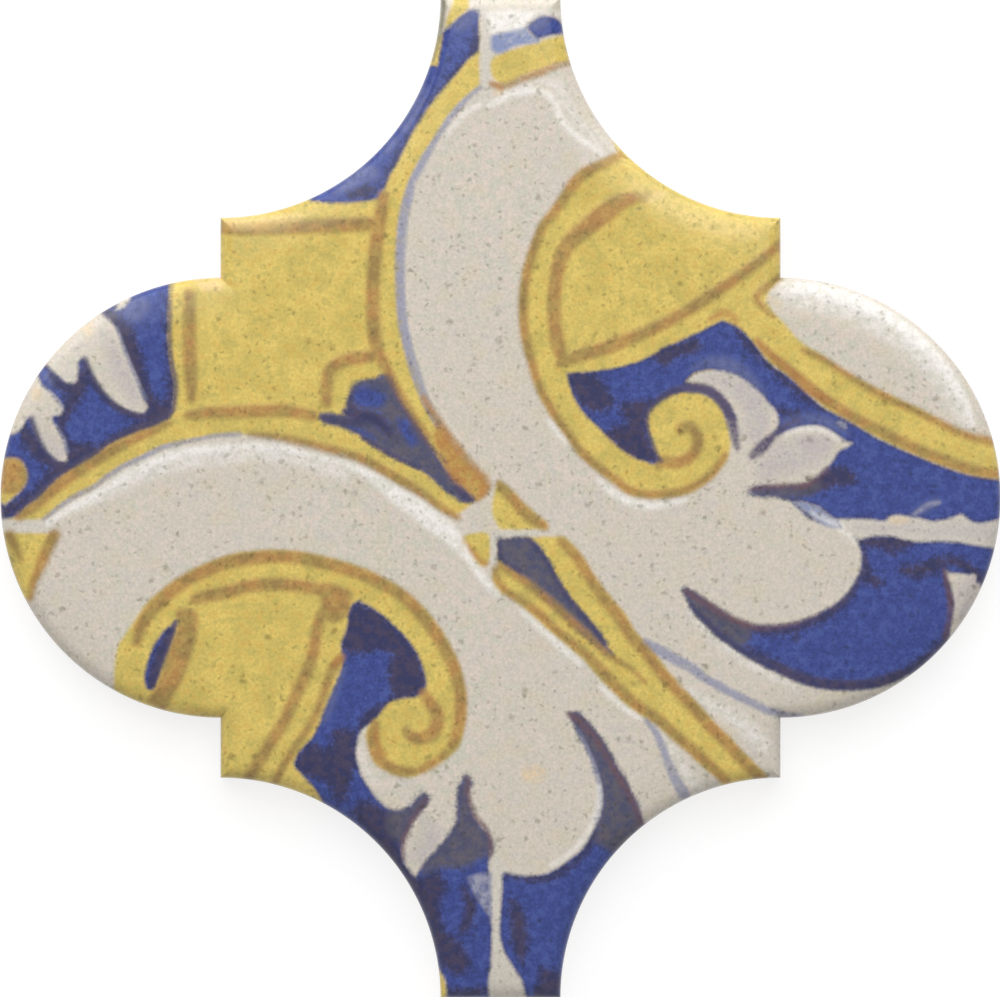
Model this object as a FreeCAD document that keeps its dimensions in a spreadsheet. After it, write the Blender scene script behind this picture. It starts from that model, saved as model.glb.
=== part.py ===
"""Arabesque wall tile, pressed and fired in one piece, in millimetres.

The tile lies flat. +Z is up through the glazed face, +Y points to the neck that is uppermost on a wall,
and the origin is the centre of the back, on the plane that the back rests on.
The plan is a square with a half-round lobe on its left and right sides and a waisted neck above and below.
The lobes of one tile fill the quarter-round hollows beside the necks of its neighbours.
"""

import FreeCAD, Part
import math
import os
import Sketcher

DRIVING_SIZES = [
    ("body_side", 84.0, "side of the square that the lobes and the necks grow from"),
    ("lobe_radius", 33.0, "half-round lobe on the left and the right"),
    ("hollow_radius", 33.0, "quarter-round hollow on each side of a neck"),
    ("thickness", 8.0, "from the back to the glazed face"),
    ("edge_radius", 2.5, "cushion rounding of the glazed edge, all the way round"),
    ("back_bevel", 0.8, "bevel round the edge of the back"),
    ("rim_width", 5.0, "flat rim of the back, outside the key pattern"),
    ("key_depth", 0.9, "depth of the cells that the adhesive keys into"),
    ("rib_width", 2.4, "width of a rib between the cells"),
    ("rib_pitch", 13.0, "from the middle of one rib to the next"),
]
PARTS_FOLDER = "parts"
SAME_HEIGHT = 1e-6

# Expressions that several features share
HALF_SIDE = "<<sizes>>.body_side / 2"
NECK_END = "<<sizes>>.body_side / 2 + <<sizes>>.hollow_radius"
LOBE_END = "<<sizes>>.body_side / 2 + <<sizes>>.lobe_radius"

# How a sketch names its origin, its level axis and the vertices of an edge
ORIGIN = (-1, 1)
LEVEL_AXIS = -1
START, END, CENTRE = 1, 2, 3


def add_size_sheet(doc):
    """The driving sizes, one aliased cell each, with what they mean beside them."""
    sheet = doc.addObject("Spreadsheet::Sheet", "sizes")
    for row, (alias, value, meaning) in enumerate(DRIVING_SIZES, start=1):
        sheet.set(f"A{row}", str(value))
        sheet.setAlias(f"A{row}", alias)
        sheet.set(f"B{row}", meaning)
    doc.recompute()
    return sheet


def origin_plane(body, role):
    """The body's own origin plane that has this role."""
    return next(feature for feature in body.Origin.OriginFeatures if feature.Role == role)


def add_sketch(body, name, plane="XY_Plane"):
    """An empty sketch on one of the body's origin planes."""
    sketch = body.newObject("Sketcher::SketchObject", name)
    sketch.AttachmentSupport = [(origin_plane(body, plane), "")]
    sketch.MapMode = "FlatFace"
    return sketch


def add_line(sketch, start, end):
    """A straight edge between two points of the sketch."""
    return sketch.addGeometry(Part.LineSegment(FreeCAD.Vector(*start, 0), FreeCAD.Vector(*end, 0)), False)


def add_arc(sketch, centre, radius, first_angle, last_angle):
    """A round edge that runs anticlockwise from the first angle to the last, in radians."""
    circle = Part.Circle(FreeCAD.Vector(*centre, 0), FreeCAD.Vector(0, 0, 1), radius)
    return sketch.addGeometry(Part.ArcOfCircle(circle, first_angle, last_angle), False)


def constrain(sketch, kind, *members):
    """A constraint that has no size, such as Horizontal or Coincident."""
    sketch.addConstraint(Sketcher.Constraint(kind, *members))


def size(sketch, kind, *members_and_value, expression):
    """A constraint that has a size, tied to the sheet."""
    index = sketch.addConstraint(Sketcher.Constraint(kind, *members_and_value))
    sketch.setExpression(f"Constraints[{index}]", expression)


def hold_off_origin(sketch, kind, side, vertex, distance, expression):
    """Keeps a vertex this far from the origin, on its positive side or its negative one."""
    ends = (*ORIGIN, *vertex) if side > 0 else (*vertex, *ORIGIN)
    size(sketch, kind, *ends, distance, expression=expression)


def draw_rectangle(sketch, width, height, width_expression, height_expression):
    """A rectangle with its middle on the origin."""
    x, y = width / 2, height / 2
    corners = [(-x, -y), (x, -y), (x, y), (-x, y)]
    edges = [add_line(sketch, *ends) for ends in zip(corners, corners[1:] + corners[:1])]
    for edge, next_edge in zip(edges, edges[1:] + edges[:1]):
        constrain(sketch, "Coincident", edge, END, next_edge, START)
    low, right, high, left = edges
    for level in (low, high):
        constrain(sketch, "Horizontal", level)
    for upright in (right, left):
        constrain(sketch, "Vertical", upright)
    constrain(sketch, "Symmetric", low, START, high, START, *ORIGIN)
    size(sketch, "DistanceX", low, START, low, END, width, expression=width_expression)
    size(sketch, "DistanceY", right, START, right, END, height, expression=height_expression)


def draw_arabesque(sketch, sheet, inset, inset_expression):
    """The closed outline of the tile, moved inwards by the inset.

    The centres of the arcs stay where they are, so the line runs parallel to the edge of the tile.
    """
    half = sheet.body_side / 2
    lobe_arc = sheet.lobe_radius - inset
    hollow_arc = sheet.hollow_radius + inset
    hollow_centre = half + sheet.hollow_radius
    shoulder_x = half - inset
    lobe_half_angle = math.pi / 2 + math.asin(inset / lobe_arc)
    hollow_trim = math.asin(inset / hollow_arc)
    shoulder_low = lobe_arc * math.sin(lobe_half_angle)
    shoulder_high = hollow_centre - hollow_arc * math.cos(hollow_trim)
    neck_half = half - hollow_arc * math.cos(hollow_trim)
    inwards, outwards = f" - {inset_expression}", f" + {inset_expression}"

    lobe_ends = {}
    for side in (1, -1):
        middle = 0 if side > 0 else math.pi
        angles = (middle - lobe_half_angle, middle + lobe_half_angle)
        lobe = add_arc(sketch, (side * half, 0), lobe_arc, *angles)
        size(sketch, "Radius", lobe, lobe_arc, expression=f"<<sizes>>.lobe_radius{inwards}")
        constrain(sketch, "PointOnObject", lobe, CENTRE, LEVEL_AXIS)
        hold_off_origin(sketch, "DistanceX", side, (lobe, CENTRE), half, HALF_SIDE)
        lobe_ends[side, side] = (lobe, END)
        lobe_ends[side, -side] = (lobe, START)

    neck_corners = {}
    quarter_turns = {(1, 1): 2, (-1, 1): 3, (-1, -1): 0, (1, -1): 1}
    for (side, end), turns in quarter_turns.items():
        angles = (turns * math.pi / 2 + hollow_trim, (turns + 1) * math.pi / 2 - hollow_trim)
        hollow = add_arc(sketch, (side * half, end * hollow_centre), hollow_arc, *angles)
        size(sketch, "Radius", hollow, hollow_arc, expression=f"<<sizes>>.hollow_radius{outwards}")
        hold_off_origin(sketch, "DistanceX", side, (hollow, CENTRE), half, HALF_SIDE)
        hold_off_origin(sketch, "DistanceY", end, (hollow, CENTRE), hollow_centre, NECK_END)
        at_neck, at_shoulder = (START, END) if side == end else (END, START)
        neck_corners[side, end] = (hollow, at_neck)

        ends = (side * shoulder_x, end * shoulder_low), (side * shoulder_x, end * shoulder_high)
        shoulder = add_line(sketch, *ends)
        constrain(sketch, "Vertical", shoulder)
        hold_off_origin(sketch, "DistanceX", side, (shoulder, START), shoulder_x, HALF_SIDE + inwards)
        constrain(sketch, "Coincident", shoulder, START, *lobe_ends[side, end])
        constrain(sketch, "Coincident", shoulder, END, hollow, at_shoulder)

    for end in (1, -1):
        neck_y = end * (hollow_centre - inset)
        neck = add_line(sketch, (-neck_half, neck_y), (neck_half, neck_y))
        constrain(sketch, "Horizontal", neck)
        hold_off_origin(sketch, "DistanceY", end, (neck, START), abs(neck_y), NECK_END + inwards)
        constrain(sketch, "Coincident", neck, START, *neck_corners[-1, end])
        constrain(sketch, "Coincident", neck, END, *neck_corners[1, end])


def draw_round_section(sketch, sheet, side, radius, radius_expression):
    """Half a section through something round, from its axis out to its wall, as high as the tile.

    Side 1 is a lobe, with its wall to the right of the axis. Side -1 is the space in a hollow, with the wall
    to the left. Either way the clay of the wall lies to its left, so the bevel and the cushion lean that way.
    """
    axis_x = sheet.body_side / 2
    wall_x = axis_x + side * radius
    thickness, bevel, cushion = sheet.thickness, sheet.back_bevel, sheet.edge_radius
    back = add_line(sketch, (axis_x, 0), (wall_x - bevel, 0))
    slope = add_line(sketch, (wall_x - bevel, 0), (wall_x, bevel))
    wall = add_line(sketch, (wall_x, bevel), (wall_x, thickness - cushion))
    brow = add_arc(sketch, (wall_x - cushion, thickness - cushion), cushion, 0, math.pi / 2)
    face = add_line(sketch, (wall_x - cushion, thickness), (axis_x, thickness))
    axis = add_line(sketch, (axis_x, thickness), (axis_x, 0))
    loop = [back, slope, wall, brow, face, axis]
    for edge, next_edge in zip(loop, loop[1:] + loop[:1]):
        constrain(sketch, "Coincident", edge, END, next_edge, START)
    for level in (back, face):
        constrain(sketch, "Horizontal", level)
    for upright in (wall, axis):
        constrain(sketch, "Vertical", upright)
    constrain(sketch, "PointOnObject", back, START, LEVEL_AXIS)
    constrain(sketch, "Horizontal", brow, CENTRE, brow, START)
    constrain(sketch, "Vertical", brow, CENTRE, brow, END)

    across = (axis, END, wall, START) if side > 0 else (wall, START, axis, END)
    size(sketch, "DistanceX", *ORIGIN, axis, END, axis_x, expression=HALF_SIDE)
    size(sketch, "DistanceY", axis, END, axis, START, thickness, expression="<<sizes>>.thickness")
    size(sketch, "DistanceX", *across, radius, expression=radius_expression)
    size(sketch, "DistanceX", slope, START, slope, END, bevel, expression="<<sizes>>.back_bevel")
    size(sketch, "DistanceY", slope, START, slope, END, bevel, expression="<<sizes>>.back_bevel")
    size(sketch, "Radius", brow, cushion, expression="<<sizes>>.edge_radius")
    return (sketch, [f"Edge{axis + 1}"])


def edges_at(shape, height):
    """Names of the edges of a shape that lie wholly at this height."""
    return [
        f"Edge{number}"
        for number, edge in enumerate(shape.Edges, start=1)
        if all(abs(vertex.Z - height) < SAME_HEIGHT for vertex in edge.Vertexes)
    ]


def dress_edges(body, kind, name, base, height, dimension, expression):
    """Rounds or bevels all the edges of the feature before it that lie at this height."""
    feature = body.newObject(kind, name)
    feature.Base = (base, edges_at(base.Shape, height))
    feature.setExpression(dimension, expression)
    body.Document.recompute()
    return feature


def pattern(body, name, original, make_steps):
    """Repeats a feature by the steps that make_steps adds, and makes the result the body's tip."""
    repeated = body.newObject("PartDesign::MultiTransform", name)
    repeated.Originals = [original]
    repeated.Transformations = make_steps(body, name)
    body.Document.recompute()
    body.Tip = repeated
    body.Document.recompute()
    return repeated


def add_mirror(body, name, plane):
    """One step of a pattern: everything so far again on the other side of a plane."""
    mirror = body.newObject("PartDesign::Mirrored", name)
    mirror.MirrorPlane = (origin_plane(body, plane), [""])
    return mirror


def mirror_left_right(body, name):
    return [add_mirror(body, f"{name}_left_right", "YZ_Plane")]


def mirror_both_ways(body, name):
    return [add_mirror(body, f"{name}_up_down", "XZ_Plane"), *mirror_left_right(body, name)]


def turn_round(body, kind, name, sketch, axis):
    """A whole turn of a section about its own axis line."""
    feature = body.newObject(kind, name)
    feature.Profile = sketch
    feature.ReferenceAxis = axis
    feature.Angle = 360
    body.Document.recompute()
    return feature


def insist_on_less(before, after):
    """Stops the build where a feature that should take clay away took none."""
    if after.Shape.Volume >= before.Shape.Volume:
        raise RuntimeError(f"{after.Name} took nothing away")


def add_blank(doc, sheet):
    """The pressed blank: a slab with four round hollows and two lobes, cushioned on top, bevelled below."""
    body = doc.addObject("PartDesign::Body", "blank")
    slab_outline = add_sketch(body, "slab_outline")
    neck_to_neck = sheet.body_side + 2 * sheet.hollow_radius
    slab_expressions = ("<<sizes>>.body_side", f"2 * ({NECK_END})")
    draw_rectangle(slab_outline, sheet.body_side, neck_to_neck, *slab_expressions)
    doc.recompute()
    slab = body.newObject("PartDesign::Pad", "slab")
    slab.Profile = slab_outline
    slab.setExpression("Length", "<<sizes>>.thickness")
    doc.recompute()

    cushion = ("Radius", "<<sizes>>.edge_radius")
    cushioned = dress_edges(body, "PartDesign::Fillet", "cushion_edge", slab, sheet.thickness, *cushion)
    bevel = ("Size", "<<sizes>>.back_bevel")
    bevelled = dress_edges(body, "PartDesign::Chamfer", "bevelled_back", cushioned, 0.0, *bevel)

    hollow_section = add_sketch(body, "hollow_section", "XZ_Plane")
    hollow_section.setExpression("AttachmentOffset.Base.z", f"-({NECK_END})")
    hollow_radius = (sheet.hollow_radius, "<<sizes>>.hollow_radius")
    hollow_axis = draw_round_section(hollow_section, sheet, -1, *hollow_radius)
    doc.recompute()
    hollow = turn_round(body, "PartDesign::Groove", "hollow", hollow_section, hollow_axis)
    insist_on_less(bevelled, hollow)
    pattern(body, "hollows", hollow, mirror_both_ways)

    lobe_section = add_sketch(body, "lobe_section", "XZ_Plane")
    lobe_radius = (sheet.lobe_radius, "<<sizes>>.lobe_radius")
    lobe_axis = draw_round_section(lobe_section, sheet, 1, *lobe_radius)
    doc.recompute()
    lobe = turn_round(body, "PartDesign::Revolution", "lobe", lobe_section, lobe_axis)
    pattern(body, "lobes", lobe, mirror_left_right)
    return body


def leave_ribs(body, sheet, name, base, along_x):
    """Takes ribs that run one way out of the key pattern, from the middle one outwards on both sides."""
    doc = body.Document
    sketch = add_sketch(body, f"{name}_outline")
    width = (sheet.rib_width, "<<sizes>>.rib_width")
    if along_x:
        length = (sheet.body_side + 2 * sheet.lobe_radius, f"2 * ({LOBE_END})")
        draw_rectangle(sketch, length[0], width[0], length[1], width[1])
    else:
        length = (sheet.body_side + 2 * sheet.hollow_radius, f"2 * ({NECK_END})")
        draw_rectangle(sketch, width[0], length[0], width[1], length[1])
    doc.recompute()

    rib = body.newObject("PartDesign::Pocket", name)
    rib.Profile = sketch
    rib.Type = "ThroughAll"
    rib.Midplane = True
    doc.recompute()

    def outwards_both_ways(body, name):
        """Ribs at the pitch as far as the tile's edge, and the same again on the other side."""
        step = body.newObject("PartDesign::LinearPattern", f"{name}_step")
        step.Direction = (sketch, ["V_Axis" if along_x else "H_Axis"])
        step.Mode = "Spacing"
        step.setExpression("Offset", "<<sizes>>.rib_pitch")
        reach = NECK_END if along_x else LOBE_END
        step.setExpression("Occurrences", f"floor(({reach}) / <<sizes>>.rib_pitch) + 1")
        return [step, add_mirror(body, f"{name}_mirror", "XZ_Plane" if along_x else "YZ_Plane")]

    ribs = pattern(body, f"{name}s", rib, outwards_both_ways)
    insist_on_less(base, ribs)
    return ribs


def add_key_cells(doc, sheet):
    """The shape of the cells in the back: a field inside the rim, cut up by two sets of ribs."""
    body = doc.addObject("PartDesign::Body", "key_cells")
    body.AllowCompound = True
    field_outline = add_sketch(body, "key_field_outline")
    draw_arabesque(field_outline, sheet, sheet.rim_width, "<<sizes>>.rim_width")
    doc.recompute()

    field = body.newObject("PartDesign::Pad", "key_field")
    field.Profile = field_outline
    field.setExpression("Length", "<<sizes>>.key_depth")
    doc.recompute()

    level_ribs = leave_ribs(body, sheet, "level_rib", field, along_x=True)
    leave_ribs(body, sheet, "upright_rib", level_ribs, along_x=False)
    return body


def add_tile(doc, sheet):
    """The finished tile: the blank with the key cells taken out of its back."""
    tile = doc.addObject("Part::Cut", "tile")
    tile.Label = "tile"
    tile.Base = add_blank(doc, sheet)
    tile.Tool = add_key_cells(doc, sheet)
    doc.recompute()
    return tile


def check(doc, pieces):
    """Stops the build if a feature failed or a piece isn't one sound solid."""
    for feature in doc.Objects:
        if {"Invalid", "Error"} & set(feature.State):
            raise RuntimeError(f"{feature.Name} failed: {feature.State}")
    for piece in pieces:
        if piece.Shape.isNull() or not piece.Shape.isValid() or len(piece.Shape.Solids) != 1:
            raise RuntimeError(f"{piece.Label} isn't one valid solid")


def main():
    doc = FreeCAD.newDocument("arabesque_tile")
    pieces = [add_tile(doc, add_size_sheet(doc))]
    check(doc, pieces)
    os.makedirs(PARTS_FOLDER, exist_ok=True)
    for piece in pieces:
        piece.Shape.exportStep(os.path.join(PARTS_FOLDER, f"{piece.Label}.step"))
        box = piece.Shape.BoundBox
        print(f"{piece.Label}: {box.XLength:.2f} x {box.YLength:.2f} x {box.ZLength:.2f} mm,")
        print(f"  {piece.Shape.Volume / 1000:.2f} cm3, {len(piece.Shape.Faces)} faces")


main()
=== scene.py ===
import math

import bpy
import numpy as np
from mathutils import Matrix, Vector
from mathutils.geometry import delaunay_2d_cdt


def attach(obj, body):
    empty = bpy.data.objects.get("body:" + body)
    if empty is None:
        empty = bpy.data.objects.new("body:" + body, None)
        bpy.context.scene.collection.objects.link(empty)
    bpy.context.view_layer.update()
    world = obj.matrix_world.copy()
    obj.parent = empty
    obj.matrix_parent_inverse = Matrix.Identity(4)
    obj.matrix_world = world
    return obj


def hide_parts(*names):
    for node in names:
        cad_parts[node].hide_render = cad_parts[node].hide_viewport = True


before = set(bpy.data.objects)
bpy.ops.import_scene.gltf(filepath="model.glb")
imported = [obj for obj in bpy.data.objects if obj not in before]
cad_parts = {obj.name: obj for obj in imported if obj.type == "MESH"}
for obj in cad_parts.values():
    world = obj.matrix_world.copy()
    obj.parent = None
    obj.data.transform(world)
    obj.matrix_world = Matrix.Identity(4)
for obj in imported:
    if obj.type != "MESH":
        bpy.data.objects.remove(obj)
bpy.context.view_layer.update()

MM_PER_METRE = 1000

# The tile's own sizes in metres, the same as its solid's
HALF_BODY = 0.042
ROUND = 0.033
REACH = HALF_BODY + ROUND
THICKNESS = 0.008
CUSHION = 0.0025
BEVEL = 0.0008
RIM = 0.005
KEY_DEPTH = 0.0009
RIB = 0.0024
RIB_PITCH = 0.013

# The glaze: how it swells towards the edge and over thick lines, and where it ends on the sides
CROWN = 0.0006
CROWN_WIDTH = 0.007
CROWN_SOFTNESS = 0.006
LINE_RISE = 0.00003
LINE_SLOPE_MM = 0.6
GLAZE_FOOT = 0.0021
GLAZE_FOOT_SOFTNESS = 0.0003
GLAZE_FOOT_WANDER = 0.003

# How finely the mesh follows all this
CUSHION_STEPS = 8
OUTLINE_STEP = 0.00045
GLAZE_STEP = 0.00042
GLAZE_MARGIN = GLAZE_STEP * 0.7
SAME_SPOT_MM = 1e-6
SPOTS_AT_ONCE = 3000
SHARP_FROM = math.radians(40)

# The stencil that the painting is drawn on. Its unit is one pixel of the photograph.
STENCIL_SIZE = (1000, 997)
STENCIL_STEP = 0.00015
STENCIL_CENTRE = (500.5, 497.75)
CURVE_STEP = 3.0
FAR_MM = 2.0
K = "corner"

# Later paints lie over earlier ones where two meet.
PAINTS = [
    "joint", "grey", "pale", "yellow", "stain_and_highlight", "sky", "blue", "haze_and_highlight", "slate", "lavender", "brown",
    "rust", "straw_highlight", "olive_edge_shade", "violet", "maroon", "navy", "white",
]
# Paints that are only seen where they lie on the blue
BLUE_TINTS = ["haze_and_highlight", "slate"]
# Paints laid on so thickly that they stand up
RAISED_PAINTS = ["brown", "navy", "white"]

# Sizes of specks in the glaze: cells per mm, share of cells left empty, largest radius in cells, darkness
SPECKS = [(0.28, 0.42, 0.26, 0.8), (0.52, 0.38, 0.37, 0.7), (1.1, 0.45, 0.5, 0.5)]
# What bends the specks out of round: waves per mm, and their reach in metres
SPECK_BENDS_PER_MM = 0.9
SPECK_BEND = 0.0015

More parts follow.
